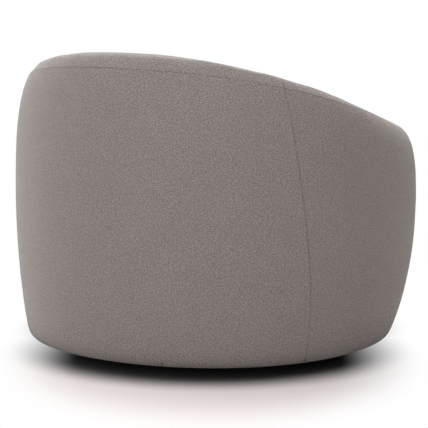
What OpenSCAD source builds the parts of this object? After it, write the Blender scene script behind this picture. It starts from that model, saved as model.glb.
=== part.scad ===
// Tub chair: a barrel shell whose rim slopes down into the arms, a padded seat,
// and a low swivel base hidden under the hem. It faces -Y, and Z is the swivel axis.
// Plan angles are counted from the middle of the back, towards the sitter's right.

/* [Shell] */
// Half of the width at the widest line
shell_half_width = 440; // [410:1:470]
// Reach of the widest line behind the sides
back_reach = 440; // [410:1:460]
// Reach of the widest line in front of the sides
front_reach = 400; // [385:1:430]
// Squareness of the plan, 2 is an ellipse
plan_power = 2.1; // [2:0.05:2.3]
// Height of the widest line
widest_height = 352; // [330:1:370]
// How far the hem is drawn in at the sides
hem_draw = 41.5; // [30:0.5:56]
// How far the hem sits back under the shell
hem_set_back = 31; // [15:1:36]
// How long the sides stay upright before they draw in
draw_power = 2.6; // [2:0.1:3]

/* [Rim] */
// Height of the rim at the middle of the back
back_height = 661; // [620:1:700]
// Height of the rim along the front of the arms
arm_height = 480; // [455:1:500]
// Plan angle where the rim levels out
arm_level_angle = 122.5; // [118:0.5:126]
// How late the rim starts to fall
slope_power = 1.15; // [1:0.05:1.3]
// Outer half of the padded roll, crest to outside
roll_out = 64; // [52:1:68]
// Inner half of the padded roll at the arms
roll_in_arm = 55; // [52:1:64]
// Inner half of the padded roll at the back
roll_in_back = 65; // [56:1:76]
// Depth of the roll's inner rounding
roll_drop = 90; // [80:1:100]
// Squareness of the roll
roll_power = 2.55; // [2.4:0.05:3.2]
// How far the inner back leans, rim to seat
back_rake = 75; // [50:1:90]
// How far the inner arms lean, rim to seat
arm_rake = 6; // [2:1:12]

/* [Upholstery] */
// Thickness of the outside panels, cloth and wadding
panel_t = 8; // [6:0.5:9]
// Thickness of the foam on the inside walls
pad_t = 45; // [38:1:47]
// Thickness of the foam over the rim
rim_pad_t = 42; // [36:1:44]
// Plan angle of the side seams at the hem
seam_foot_angle = 58.5; // [55:0.5:60]
// Plan angle of the side seams at the rim
seam_head_angle = 48.5; // [46:0.5:52]
// Inset of the rim seam at the middle of the back
rim_seam_inset_back = 27.5; // [18:0.5:32]
// Inset of the rim seam on the arms
rim_seam_inset_arm = 44; // [32:1:48]
// Plan angle where the arm fronts begin
arm_front_angle = 121.5; // [120.5:0.5:122.5]
// Plan angle of the tip of the arm fronts
arm_tip_angle = 136; // [134:0.5:137]
// How far the arm fronts round down at their tip
arm_tip_drop = 50; // [35:1:60]
// Thickness of the seat cushion at its crown
cushion_crown_t = 115; // [105:1:125]
// Thickness of the seat cushion at its edge seam
cushion_edge_t = 93; // [85:1:98]
// Gap between the cushion and the inside walls
cushion_gap = 3; // [2:0.5:5]
// Thickness of the cushion's quilted cover
cover_t = 4; // [3:0.5:6]
// Thickness of the foam on the seat deck
deck_pad_t = 10; // [8:0.5:14]
// Thickness of the felt over the springs
felt_t = 2; // [1.5:0.5:4]

/* [Frame] */
// Height of the seat frame's top face
seat_frame_height = 272; // [262:1:280]
// Thickness of the seat frame ring
seat_frame_t = 24; // [18:1:27]
// Thickness of the floor panel
floor_panel_t = 18; // [15:1:21]
// Thickness of the plinth ring under the floor panel
plinth_t = 18; // [17:1:19]
// Set-back of the plinth ring's round opening from the shell's shorter half
plinth_setback = 155; // [145:1:165]
// Thickness of the back and arm ribs
rib_t = 18; // [15:1:24]
// Height of the bent rail under the rim
rail_h = 29; // [22:1:34]
// Thickness of the arm stumps
stump_t = 20; // [15:1:22]
// Thickness of the liner boards
liner_t = 3; // [2:0.5:3]
// Wire of the sinuous seat springs
spring_wire_d = 4; // [3.5:0.5:5]
// Length of one bend in a seat spring
spring_bend_l = 34; // [28:1:42]

/* [Swivel base] */
// Gap between the plinth ring's opening and the base ring
base_ring_gap = 8; // [5:1:20]
// Width of the base ring's bar
base_ring_w = 24; // [20:1:26]
// Height of the base ring's bar
base_ring_h = 14; // [12:1:16]
// Height of the glides
glide_h = 9; // [8:0.5:11]
// Diameter of the glides
glide_d = 38; // [32:1:42]
// Width of the cross bars
cross_bar_w = 40; // [34:1:44]
// Thickness of the cross bars
cross_bar_t = 6; // [5:0.5:8]
// Side of the square swivel plates
swivel_plate_w = 190; // [176:1:198]
// Thickness of the swivel plates
swivel_plate_t = 3; // [2.5:0.5:4]
// Spacing of the bolts in the swivel plates
swivel_bolt_pitch = 150; // [140:1:156]
// Diameter of the bearing balls
ball_d = 9; // [8:0.5:10]
// Number of bearing balls
ball_count = 12; // [10:1:16]
// Radius of the ball track
ball_track_r = 60; // [52:1:66]

/* [Hidden] */

// Clearances and overruns
soft_gap = 0.4;
seam_gap = 0.36;
run_fit = 0.05;
bolt_fit = 0.3;
cut = 1;
round_n = 48;
small_n = 24;

// Finishes
cloth = [0.52, 0.49, 0.475];
foam = [0.93, 0.9, 0.78];
black_cloth = [0.09, 0.09, 0.09];
board = [0.72, 0.55, 0.36];
fibre = [0.5, 0.38, 0.26];
steel = [0.62, 0.63, 0.65];
black_steel = [0.07, 0.07, 0.075];

// Radii that the base takes from the shell
shell_half_depth = (back_reach + front_reach) / 2;
plinth_hole_r = min(shell_half_width, shell_half_depth) - plinth_setback;
base_ring_r = plinth_hole_r - base_ring_gap - base_ring_w / 2;

// Heights of the swivel stack, from the floor up
base_ring_z = glide_h;
cross_bar_z = base_ring_z + base_ring_h;
lower_plate_z = cross_bar_z + cross_bar_t;
race_z = lower_plate_z + swivel_plate_t;
race_floor_t = 1.9;
race_w = 16;
race_lip = 2;
groove_clear = 0.1;
ball_r = ball_d / 2;
ball_z = race_z + race_floor_t + groove_clear + ball_r;
race_h = ball_z - race_lip - race_z;
upper_race_top = 2 * ball_z - race_z;
upper_plate_z = upper_race_top;
floor_panel_z = upper_plate_z + swivel_plate_t;
floor_panel_top = floor_panel_z + floor_panel_t;
plinth_z = floor_panel_z - plinth_t;
dust_cover_t = 0.8;
dust_cover_z = plinth_z - dust_cover_t;
hem_lip = 1.2;
hem_z = dust_cover_z - hem_lip;

// Heights of the seat stack
clip_t = 1.2;
spring_z = seat_frame_height + soft_gap + spring_wire_d / 2;
felt_z = spring_z + spring_wire_d / 2 + clip_t + 2 * soft_gap;
deck_pad_z = felt_z + felt_t + soft_gap;
deck_top = deck_pad_z + deck_pad_t;
cushion_z = deck_top + soft_gap;

// Plan of the shell
widest_y = (front_reach - back_reach) / 2;
hem_scale = (shell_half_width - hem_draw) / shell_half_width;
half_turn = 180;
quarter = 90;
arm_span_angle = 100;

function outward(p) = [-sin(p), cos(p)];
function plan_reach(p) = cos(p) >= 0 ? back_reach : front_reach;
function plan_r(p) = pow(pow(abs(sin(p)) / shell_half_width, plan_power)
    + pow(abs(cos(p)) / plan_reach(p), plan_power), -1 / plan_power);
function widest_pt(p, depth) = [0, widest_y] + (plan_r(p) - depth) * outward(p);
function hem_pt(p, depth) =
    [0, widest_y + hem_set_back] + (plan_r(p) * hem_scale - depth) * outward(p);
function mix(a, b, t) = a * (1 - t) + b * t;
function smooth(t) = let (c = max(0, min(1, t))) c * c * (3 - 2 * c);
function back_share(p) = (1 + cos(half_turn * min(abs(p) / arm_span_angle, 1))) / 2;
function with_z(pt, z) = [pt[0], pt[1], z];

// Rim and roll: a rounded edge between the outside and the inside face
function rim_z(p) = arm_height + (back_height - arm_height)
    * (1 + cos(half_turn * pow(min(abs(p) / arm_level_angle, 1), slope_power))) / 2;
function bend(v) = pow(abs(v), 2 / roll_power);
function roll_in(p) = mix(roll_in_arm, roll_in_back, back_share(p));
function rake(p) = mix(arm_rake, back_rake, back_share(p));
function fall(p, z) = max(0, min(1, (rim_z(p) - z) / (rim_z(p) - deck_top)));
function low_z(t) = mix(hem_z, widest_height, t);
function low_pt(p, t, depth) =
    with_z(mix(widest_pt(p, depth), hem_pt(p, depth), pow(1 - t, draw_power)), low_z(t));
function roll_z(p, a, depth) =
    widest_height + (rim_z(p) - depth - widest_height) * bend(sin(a));
function roll_pt(p, a, depth) = with_z(
    widest_pt(p, roll_out - (roll_out - depth) * bend(cos(a))), roll_z(p, a, depth));
function outer_pt_at(p, z, depth) = z < widest_height
    ? low_pt(p, (z - hem_z) / (widest_height - hem_z), depth)
    : let (up = min(1, (z - widest_height) / (rim_z(p) - depth - widest_height)))
      roll_pt(p, asin(pow(up, roll_power / 2)), depth);
function inner_roll_pt(p, b, depth) =
    let (z = rim_z(p) - depth - (roll_drop - depth) * (1 - bend(sin(b))))
    with_z(widest_pt(p, roll_out + (roll_in(p) - depth) * bend(cos(b))
        + rake(p) * fall(p, z)), z);
function inner_inset(p, z) = roll_out + roll_in(p) + rake(p) * fall(p, z);
function inner_wall_pt(p, z, depth) = with_z(widest_pt(p, inner_inset(p, z) - depth), z);

// Seams
function rim_seam_inset(p) = rim_seam_inset_back
    + (rim_seam_inset_arm - rim_seam_inset_back) * pow(abs(p) / arm_span_angle, 2);
function rim_seam_bend(p) =
    acos(pow(1 - rim_seam_inset(p) / roll_out, roll_power / 2));
rim_seam_half = 0.15;
head_seam_z = roll_z(seam_head_angle, rim_seam_bend(seam_head_angle), 0);
function side_seam(z) = mix(seam_foot_angle, seam_head_angle,
    min(1, (z - hem_z) / (head_seam_z - hem_z)));
seam_half_angle = asin(seam_gap / 2 / shell_half_width);

// Rows of points up the outside and over the rim, as shares of each stretch
low_shares = [0, 0.15, 0.35, 0.6, 0.8];
roll_shares = [0, 0.3, 0.58, 0.82, 1];
crest_shares = [0, 0.35, 0.7, 1];
inner_roll_angles = [70, 50, 30, 12, 0];
wall_shares = [0.5, 1];
tip_angles = [0, 18, 36, 54, 70, 84];

// A solid between two grids of points, closed round its edges
module between(face, back) {
    rows = len(face[0]);
    stations = len(face);
    last = stations * rows;
    function at(side, i, j) = side * last + i * rows + j;
    function quad(a, b, c, d) = [[a, c, b], [a, d, c]];
    polyhedron(
        points = [for (grid = [face, back]) for (line = grid) for (pt = line) pt],
        faces = [
            for (i = [0:stations - 2]) for (j = [0:rows - 2])
                each quad(at(0, i, j), at(0, i + 1, j), at(0, i + 1, j + 1), at(0, i, j + 1)),
            for (i = [0:stations - 2]) for (j = [0:rows - 2])
                each quad(at(1, i, j), at(1, i, j + 1), at(1, i + 1, j + 1), at(1, i + 1, j)),
            for (i = [0:stations - 2])
                each quad(at(0, i, 0), at(1, i, 0), at(1, i + 1, 0), at(0, i + 1, 0)),
            for (i = [0:stations - 2])
                each quad(at(0, i, rows - 1), at(0, i + 1, rows - 1),
                    at(1, i + 1, rows - 1), at(1, i, rows - 1)),
            for (j = [0:rows - 2])
                each quad(at(0, 0, j), at(0, 0, j + 1), at(1, 0, j + 1), at(1, 0, j)),
            for (j = [0:rows - 2])
                each quad(at(0, stations - 1, j), at(1, stations - 1, j),
                    at(1, stations - 1, j + 1), at(0, stations - 1, j + 1)),
        ]);
}

// The chair's left is the mirror of its right
module left_hand() {
    mirror([1, 0, 0]) children();
}

// A board standing in a plan radius, its outline given as [radius, height]
module radial_board(p, thickness, outline) {
    translate([0, widest_y, 0])
        rotate([0, 0, p])
            rotate([quarter, 0, quarter])
                linear_extrude(thickness, center = true)
                    polygon(outline);
}

module ring_of(count, radius, start) {
    for (i = [0:count - 1])
        rotate([0, 0, start + i * 2 * half_turn / count])
            translate([radius, 0, 0])
                children();
}

module at_bolts(pitch) {
    for (x = [-1, 1], y = [-1, 1])
        translate([x * pitch / 2, y * pitch / 2, 0])
            children();
}

// Swivel base
diagonal = 45;
glide_bolt_r = 4;
glide_pocket_r = 8;
glide_pocket_h = 5;
glide_edge = 2;
glide_foot_t = glide_h - glide_pocket_h;
glide_bolt_head_h = 4;
glide_bolt_head_r = 7;
glide_nut_h = 5;
glide_nut_r = 6.5;
glide_bolt_tail = 1.5;
plate_bolt_r = 3;
plate_bolt_head_r = 5;
plate_bolt_head_h = 4;
plate_nut_r = 5.5;
plate_nut_h = 3.5;
plate_corner_r = 18;
king_pin_r = 7.95;
king_hole_r = king_pin_r + run_fit;
king_head_r = 14;
king_head_h = 5;
king_nut_r = 15;
king_nut_h = 7;
king_pin_tail = 2;
hex = 6;

module glides() {
    color(black_steel)
        ring_of(4, base_ring_r, diagonal)
            difference() {
                union() {
                    cylinder(h = glide_edge, r1 = glide_d / 2 - glide_edge, r2 = glide_d / 2,
                        $fn = round_n);
                    translate([0, 0, glide_edge])
                        cylinder(h = glide_h - glide_edge, d = glide_d, $fn = round_n);
                }
                translate([0, 0, glide_foot_t])
                    cylinder(h = glide_pocket_h + cut, r = glide_pocket_r, $fn = small_n);
            }
}

module glide_bolts() {
    color(steel)
        ring_of(4, base_ring_r, diagonal)
            union() {
                translate([0, 0, glide_h - glide_bolt_head_h])
                    cylinder(h = glide_bolt_head_h, r = glide_bolt_head_r, $fn = hex);
                translate([0, 0, glide_h - glide_bolt_head_h / 2])
                    cylinder(h = glide_bolt_head_h / 2 + base_ring_h + cross_bar_t
                        + glide_nut_h + glide_bolt_tail, r = glide_bolt_r, $fn = small_n);
            }
}

module glide_nuts() {
    color(steel)
        ring_of(4, base_ring_r, diagonal)
            translate([0, 0, lower_plate_z])
                difference() {
                    cylinder(h = glide_nut_h, r = glide_nut_r, $fn = hex);
                    translate([0, 0, -cut])
                        cylinder(h = glide_nut_h + 2 * cut, r = glide_bolt_r + run_fit,
                            $fn = small_n);
                }
}

module base_ring() {
    color(black_steel)
        difference() {
            translate([0, 0, base_ring_z])
                rotate_extrude($fn = 2 * round_n)
                    translate([base_ring_r - base_ring_w / 2, 0])
                        square([base_ring_w, base_ring_h]);
            ring_of(4, base_ring_r, diagonal)
                translate([0, 0, base_ring_z - cut])
                    cylinder(h = base_ring_h + 2 * cut, r = glide_bolt_r + bolt_fit,
                        $fn = small_n);
        }
}

module cross_bars() {
    bar_l = 2 * base_ring_r + base_ring_w - 2 * glide_edge;
    color(black_steel)
        difference() {
            union() {
                for (turn = [diagonal, -diagonal])
                    rotate([0, 0, turn])
                        translate([-bar_l / 2, -cross_bar_w / 2, cross_bar_z])
                            cube([bar_l, cross_bar_w, cross_bar_t]);
            }
            translate([0, 0, cross_bar_z - cut]) {
                cylinder(h = cross_bar_t + 2 * cut, r = king_hole_r, $fn = round_n);
                at_bolts(swivel_bolt_pitch)
                    cylinder(h = cross_bar_t + 2 * cut, r = plate_bolt_r + bolt_fit,
                        $fn = small_n);
                ring_of(4, base_ring_r, diagonal)
                    cylinder(h = cross_bar_t + 2 * cut, r = glide_bolt_r + bolt_fit,
                        $fn = small_n);
            }
        }
}

module swivel_plate(z) {
    flat = swivel_plate_w - 2 * plate_corner_r;
    color(steel)
        translate([0, 0, z])
            difference() {
                union() {
                    translate([-swivel_plate_w / 2, -flat / 2, 0])
                        cube([swivel_plate_w, flat, swivel_plate_t]);
                    translate([-flat / 2, -swivel_plate_w / 2, 0])
                        cube([flat, swivel_plate_w, swivel_plate_t]);
                    at_bolts(flat)
                        cylinder(h = swivel_plate_t, r = plate_corner_r, $fn = round_n);
                }
                translate([0, 0, -cut]) {
                    cylinder(h = swivel_plate_t + 2 * cut, r = king_hole_r, $fn = round_n);
                    at_bolts(swivel_bolt_pitch)
                        cylinder(h = swivel_plate_t + 2 * cut, r = plate_bolt_r + bolt_fit,
                            $fn = small_n);
                }
            }
}

module lower_plate() {
    swivel_plate(lower_plate_z);
}

module upper_plate() {
    swivel_plate(upper_plate_z);
}

module race() {
    color(steel)
        rotate_extrude($fn = 2 * round_n)
            translate([ball_track_r, 0])
                difference() {
                    translate([-race_w / 2, race_z - ball_z])
                        square([race_w, race_h]);
                    circle(r = ball_r + groove_clear, $fn = round_n);
                }
}

module lower_race() {
    translate([0, 0, ball_z]) race();
}

module upper_race() {
    translate([0, 0, ball_z]) mirror([0, 0, 1]) race();
}

cage_t = 2;
cage_w = 14;

module ball_cage() {
    color(steel)
        difference() {
            translate([0, 0, ball_z - cage_t / 2])
                rotate_extrude($fn = 2 * round_n)
                    translate([ball_track_r - cage_w / 2, 0])
                        square([cage_w, cage_t]);
            ring_of(ball_count, ball_track_r, 0)
                translate([0, 0, ball_z - ball_r])
                    cylinder(h = ball_d, r = ball_r + groove_clear, $fn = small_n);
        }
}

module bearing_balls() {
    color(steel)
        ring_of(ball_count, ball_track_r, 0)
            translate([0, 0, ball_z])
                sphere(r = ball_r, $fn = small_n);
}

module plate_bolts() {
    color(steel)
        at_bolts(swivel_bolt_pitch)
            union() {
                translate([0, 0, cross_bar_z - plate_bolt_head_h])
                    cylinder(h = plate_bolt_head_h, r = plate_bolt_head_r, $fn = hex);
                translate([0, 0, cross_bar_z - plate_bolt_head_h / 2])
                    cylinder(h = plate_bolt_head_h / 2 + cross_bar_t + swivel_plate_t
                        + plate_nut_h, r = plate_bolt_r, $fn = small_n);
            }
}

module plate_nuts() {
    color(steel)
        at_bolts(swivel_bolt_pitch)
            translate([0, 0, race_z])
                difference() {
                    cylinder(h = plate_nut_h, r = plate_nut_r, $fn = hex);
                    translate([0, 0, -cut])
                        cylinder(h = plate_nut_h + 2 * cut, r = plate_bolt_r + run_fit,
                            $fn = small_n);
                }
}

module king_pin() {
    color(steel)
        union() {
            translate([0, 0, cross_bar_z - king_head_h])
                cylinder(h = king_head_h, r = king_head_r, $fn = round_n);
            translate([0, 0, cross_bar_z - king_head_h / 2])
                cylinder(h = floor_panel_z + king_nut_h + king_pin_tail - cross_bar_z
                    + king_head_h / 2, r = king_pin_r, $fn = round_n);
        }
}

module king_nut() {
    color(steel)
        translate([0, 0, floor_panel_z + groove_clear])
            difference() {
                cylinder(h = king_nut_h, r = king_nut_r, $fn = hex);
                translate([0, 0, -cut])
                    cylinder(h = king_nut_h + 2 * cut, r = king_hole_r, $fn = round_n);
            }
}

// Bolts that hold the upper plate under the floor panel, with their flange nuts
tee_flange_r = 9;
tee_flange_t = 1.5;
tee_nut_h = 6;

module swivel_bolts() {
    color(steel)
        at_bolts(swivel_bolt_pitch)
            union() {
                translate([0, 0, upper_plate_z - plate_bolt_head_h])
                    cylinder(h = plate_bolt_head_h, r = plate_bolt_head_r, $fn = hex);
                translate([0, 0, upper_plate_z - plate_bolt_head_h / 2])
                    cylinder(h = plate_bolt_head_h / 2 + swivel_plate_t + floor_panel_t
                        + tee_nut_h, r = plate_bolt_r, $fn = small_n);
            }
}

module tee_nuts() {
    color(steel)
        at_bolts(swivel_bolt_pitch)
            translate([0, 0, floor_panel_top])
                difference() {
                    union() {
                        cylinder(h = tee_flange_t, r = tee_flange_r, $fn = small_n);
                        cylinder(h = tee_nut_h, r = plate_nut_r, $fn = hex);
                    }
                    translate([0, 0, -cut])
                        cylinder(h = tee_nut_h + 2 * cut, r = plate_bolt_r + run_fit,
                            $fn = small_n);
                }
}

// Front of the shell: the apron leaves the inside of each arm front and swells
// forward to the widest line
front_edge_share = 0.1;
front_root_share = 0.93;
apron_tuck_angle = 8.5;
apron_end_angle = arm_front_angle + apron_tuck_angle;
apron_full_angle = 150;

function beyond(p) = half_turn - abs(half_turn - abs(p));
function front_share(p) = mix(front_edge_share, front_root_share,
    smooth((apron_full_angle - beyond(p)) / (apron_full_angle - apron_end_angle)));
arm_root_inset = roll_out + roll_in_arm + arm_rake;
function front_pt(p, z, depth) =
    let (outside = outer_pt_at(p, z, 0))
    let (inside = with_z(widest_pt(p, arm_root_inset), z))
    mix(outside, inside, front_share(p)) - depth * with_z(outward(p), 0);

// Flat boards: an outline that follows the shell at one height, notched where
// the arm fronts pass
notch_margin = 6;
notch_inset = arm_root_inset + notch_margin;
notch_past_angle = 1;
notch_end_angle = arm_tip_angle + notch_past_angle;
side_steps = 28;
notch_steps = 4;
apron_steps = 20;
first_clear = 2;

function flat(pt) = [pt[0], pt[1]];
function half_outline(z, depth, front_depth, notch_angle) = [
    for (i = [0:side_steps])
        flat(outer_pt_at(notch_angle * i / side_steps, z, depth)),
    for (i = [0:notch_steps])
        widest_pt(mix(notch_angle, notch_end_angle, i / notch_steps), notch_inset),
    for (i = [first_clear:apron_steps / 2])
        flat(front_pt(apron_station(i), z, front_depth)),
];
function apron_station(i) =
    mix(apron_end_angle, 2 * half_turn - apron_end_angle, i / apron_steps);
function both_halves(half) = concat(half,
    [for (i = [len(half) - 2:-1:1]) [-half[i][0], half[i][1]]]);
function board_outline(z, depth, front_depth, notch_angle) =
    both_halves(half_outline(z, depth, front_depth, notch_angle));

module flat_board(z, thickness, outline) {
    translate([0, 0, z])
        linear_extrude(thickness)
            polygon(outline);
}

board_margin = 1.4;
behind_panel = panel_t + board_margin;
liner_depth = behind_panel;
behind_liner = liner_depth + liner_t + board_margin;
notch_clear_angle = 0.4;
low_notch_angle = arm_front_angle - notch_clear_angle;
king_access_r = 30;

module floor_panel() {
    color(board)
        difference() {
            flat_board(floor_panel_z, floor_panel_t,
                board_outline(floor_panel_z, behind_panel, behind_panel, low_notch_angle));
            translate([0, 0, floor_panel_z - cut]) {
                cylinder(h = floor_panel_t + 2 * cut, r = king_access_r, $fn = round_n);
                at_bolts(swivel_bolt_pitch)
                    cylinder(h = floor_panel_t + 2 * cut, r = plate_bolt_r + bolt_fit,
                        $fn = small_n);
            }
        }
}

module plinth_ring() {
    color(board)
        difference() {
            flat_board(plinth_z, plinth_t,
                board_outline(plinth_z, behind_panel, behind_panel, low_notch_angle));
            translate([0, 0, plinth_z - cut])
                cylinder(h = plinth_t + 2 * cut, r = plinth_hole_r, $fn = 2 * round_n);
        }
}

module dust_cover() {
    color(black_cloth)
        difference() {
            flat_board(dust_cover_z, dust_cover_t,
                board_outline(dust_cover_z, behind_panel, behind_panel, low_notch_angle));
            translate([0, 0, dust_cover_z - cut])
                cylinder(h = dust_cover_t + 2 * cut, r = plinth_hole_r - hem_lip,
                    $fn = 2 * round_n);
        }
}

// Posts between the floor panel and the seat frame
seat_frame_z = seat_frame_height - seat_frame_t;
post_w = 45;
post_d = 30;
post_setback = 20;
post_angles = [0, 40, 80, 108, 150, 180];

module at_posts() {
    for (p = post_angles, side = [-1, 1])
        if (side > 0 || (p > 0 && p < half_turn))
            let (foot = p > quarter + diagonal
                ? front_pt(p, floor_panel_top, panel_t + liner_t)
                : outer_pt_at(p, floor_panel_top, panel_t + liner_t))
            translate([side * foot[0], foot[1], 0])
                rotate([0, 0, side * p])
                    translate([0, -post_setback, 0])
                        children();
}

module base_posts() {
    color(board)
        at_posts()
            translate([-post_w / 2, -post_d, floor_panel_top])
                cube([post_w, post_d, seat_frame_z - floor_panel_top]);
}

glue_block_w = 40;
glue_block_h = 38;

module glue_blocks() {
    color(board)
        at_posts()
            translate([-glue_block_w / 2, -post_d, floor_panel_top])
                rotate([quarter, 0, quarter])
                    linear_extrude(glue_block_w)
                        polygon([[0, 0], [-glue_block_h, 0], [0, glue_block_h]]);
}

// Seat frame: a flat ring that carries the springs, the ribs and the inside pads
seat_rail_side = 175;
seat_rail_back = 57;
seat_rail_front = 140;

function opening_inset(p) = seat_rail_side + seat_rail_back * back_share(p)
    - (seat_rail_side - seat_rail_front)
    * smooth((beyond(p) - notch_end_angle) / (apron_full_angle - notch_end_angle));
function opening_outline() = both_halves([
    for (i = [0:2 * side_steps])
        let (p = half_turn * i / (2 * side_steps))
        widest_pt(p, opening_inset(p))]);

module seat_frame() {
    color(board)
        difference() {
            flat_board(seat_frame_z, seat_frame_t,
                board_outline(seat_frame_z, behind_liner, behind_liner, low_notch_angle));
            flat_board(seat_frame_z - cut, seat_frame_t + 2 * cut, opening_outline());
        }
}

// Ribs and rails of the back and arms
rib_setback = 24;
rail_inner_inset = 66;
rail_outer_inset = 36;
rail_top_drop = rim_pad_t + 3 * soft_gap;
webbing_t = 1.2;
webbing_w = 50;
rib_foot_drop = pad_t + webbing_t + 6 * soft_gap;
back_rib_angles = [0, 21, 42];
arm_rib_angles = [62, 84, 106];
rail_joint_angle = 48;
probe_angle = 1;

function rail_low_z(p) = rim_z(p) - rail_top_drop - rail_h;
function rib_outline(p) =
    let (foot_z = seat_frame_height)
    let (slope = (rim_z(p + probe_angle) - rim_z(p - probe_angle))
        / (2 * plan_r(p) * sin(probe_angle)))
    let (head_z = rail_low_z(p) - 2 * soft_gap - abs(slope) * rib_t / 2)
    let (bend_z = min(head_z - soft_gap, rim_z(p) - roll_drop))
    [for (corner = [
        [rib_setback, foot_z],
        [inner_inset(p, foot_z) - rib_foot_drop, foot_z],
        [max(rail_inner_inset, inner_inset(p, bend_z) - rib_foot_drop), bend_z],
        [rail_inner_inset, head_z],
        [rib_setback + panel_t, head_z]])
        [plan_r(p) - corner[0], corner[1]]];

module ribs(angles) {
    color(board)
        for (p = angles, side = [-1, 1])
            if (side > 0 || p > 0)
                radial_board(side * p, rib_t, rib_outline(p));
}

module back_ribs() {
    ribs(back_rib_angles);
}

module arm_ribs() {
    ribs(arm_rib_angles);
}

function rail_grid(from, to, steps, inset) = [
    for (i = [0:steps])
        let (p = mix(from, to, i / steps))
        let (top = rim_z(p) - rail_top_drop)
        [with_z(widest_pt(p, inset), top - rail_h), with_z(widest_pt(p, inset), top)]];

module bent_rail(from, to, steps) {
    color(board)
        between(rail_grid(from, to, steps, rail_outer_inset),
            rail_grid(from, to, steps, rail_inner_inset));
}

rail_gap_angle = 2 * seam_half_angle;
stump_t_half_angle = asin((stump_t / 2 + soft_gap) / (shell_half_width - roll_out));
stump_back_angle = 2;
stump_angle = arm_front_angle - stump_back_angle;
rail_end_angle = stump_angle - stump_t_half_angle;
rail_steps = 20;

module back_rail() {
    bent_rail(-rail_joint_angle, rail_joint_angle, rail_steps);
}

module arm_rail_right() {
    bent_rail(rail_joint_angle + rail_gap_angle, rail_end_angle, rail_steps);
}

module arm_rail_left() {
    left_hand() arm_rail_right();
}

// Arm stumps: the upright boards behind the arm fronts
stump_setback = 4;
stump_inner_inset = 72;
stump_steps = 6;

function low_r(p, z) = norm(flat(outer_pt_at(p, z, 0)) - [0, widest_y]);
function stump_outline() =
    let (p = stump_angle)
    let (top = rim_z(p) - rail_top_drop)
    let (edge = behind_liner + stump_setback)
    concat(
        [for (i = [0:stump_steps])
            let (z = mix(seat_frame_height, top - rail_h, i / stump_steps))
            [low_r(p, z) - edge, z]],
        [[plan_r(p) - rail_outer_inset, top], [plan_r(p) - rail_inner_inset, top],
            [plan_r(p) - stump_inner_inset, top - rail_h],
            [plan_r(p) - stump_inner_inset, seat_frame_height]]);

module arm_stump_right() {
    color(board)
        radial_board(stump_angle, stump_t, stump_outline());
}

module arm_stump_left() {
    left_hand() arm_stump_right();
}

// Liner boards behind the outside panels
liner_top_bend = 40;
liner_steps = 16;
liner_shares = [0.35, 0.6, 0.8];
liner_bends = [0, 0.5, 1];

function liner_row(p, depth) = concat(
    [outer_pt_at(p, floor_panel_top + soft_gap, depth)],
    [for (t = liner_shares) low_pt(p, t, depth)],
    [for (t = liner_bends) roll_pt(p, t * liner_top_bend, depth)]);
function liner_grid(from, to, depth) = [
    for (i = [0:liner_steps])
        liner_row(mix(from, to, i / liner_steps), depth)];

module liner(from, to) {
    color(fibre)
        between(liner_grid(from, to, liner_depth),
            liner_grid(from, to, liner_depth + liner_t));
}

module back_liner() {
    liner(-seam_head_angle, seam_head_angle);
}

module arm_liner_right() {
    liner(seam_head_angle + 2 * seam_half_angle, arm_front_angle - 2 * seam_half_angle);
}

module arm_liner_left() {
    left_hand() arm_liner_right();
}

apron_shares = [0, 0.15, 0.35, 0.6, 0.8, 1];

function apron_grid(low, high, depth, first) = [
    for (i = [first:apron_steps - first])
        [for (t = apron_shares) front_pt(apron_station(i), mix(low, high, t), depth)]];

module apron_board() {
    low = floor_panel_top + soft_gap;
    high = seat_frame_height;
    color(fibre)
        between(apron_grid(low, high, liner_depth, 1),
            apron_grid(low, high, liner_depth + liner_t, 1));
}

// Elastic straps across the inner edges of the back ribs
webbing_steps = 18;
webbing_levels = [0.2, 0.48, 0.76];
webbing_end_angle = 45;

function strap_row(p, share, depth) =
    let (mid = mix(seat_frame_height, rim_z(p) - roll_drop, share))
    [for (edge = [-1, 1])
        inner_wall_pt(p, mid + edge * webbing_w / 2, pad_t + 2 * soft_gap + depth)];
function strap_grid(share, depth) = [
    for (i = [0:webbing_steps])
        strap_row(mix(-webbing_end_angle, webbing_end_angle, i / webbing_steps),
            share, depth)];

module back_webbing() {
    color(black_cloth)
        for (share = webbing_levels)
            between(strap_grid(share, webbing_t), strap_grid(share, 0));
}

// Sinuous springs from the front of the seat frame to its back
spring_places = [-180, -60, 60, 180];
spring_wave = 22;
spring_rest = 16;
spring_sides = 6;
spring_rings = 4;

function wire_ring(pt, dir) =
    let (side = [dir[1], -dir[0], 0] / norm(dir))
    [for (k = [0:spring_sides - 1])
        let (turn = 2 * half_turn * k / spring_sides)
        pt + spring_wire_d / 2 * (cos(turn) * side + sin(turn) * [0, 0, 1])];
function spring_bends(front, back) = round((back - front) / spring_bend_l);
function spring_pt(x, front, back, t) = [
    x + spring_wave * sin(half_turn * spring_bends(front, back) * t),
    mix(front, back, t), spring_z];
function spring_dir(front, back, t) =
    let (bends = spring_bends(front, back))
    [spring_wave * PI * bends * cos(half_turn * bends * t), back - front, 0];

module wire(rings) {
    last = len(rings) - 1;
    n = spring_sides;
    polyhedron(
        points = [for (ring = rings) for (pt = ring) pt],
        faces = [
            for (i = [0:last - 1]) for (k = [0:n - 1])
                let (a = i * n + k, b = i * n + (k + 1) % n)
                each [[a, b, b + n], [a, b + n, a + n]],
            for (k = [1:n - 2]) [0, k + 1, k],
            for (k = [1:n - 2]) [last * n, last * n + k, last * n + k + 1],
        ]);
}

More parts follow.
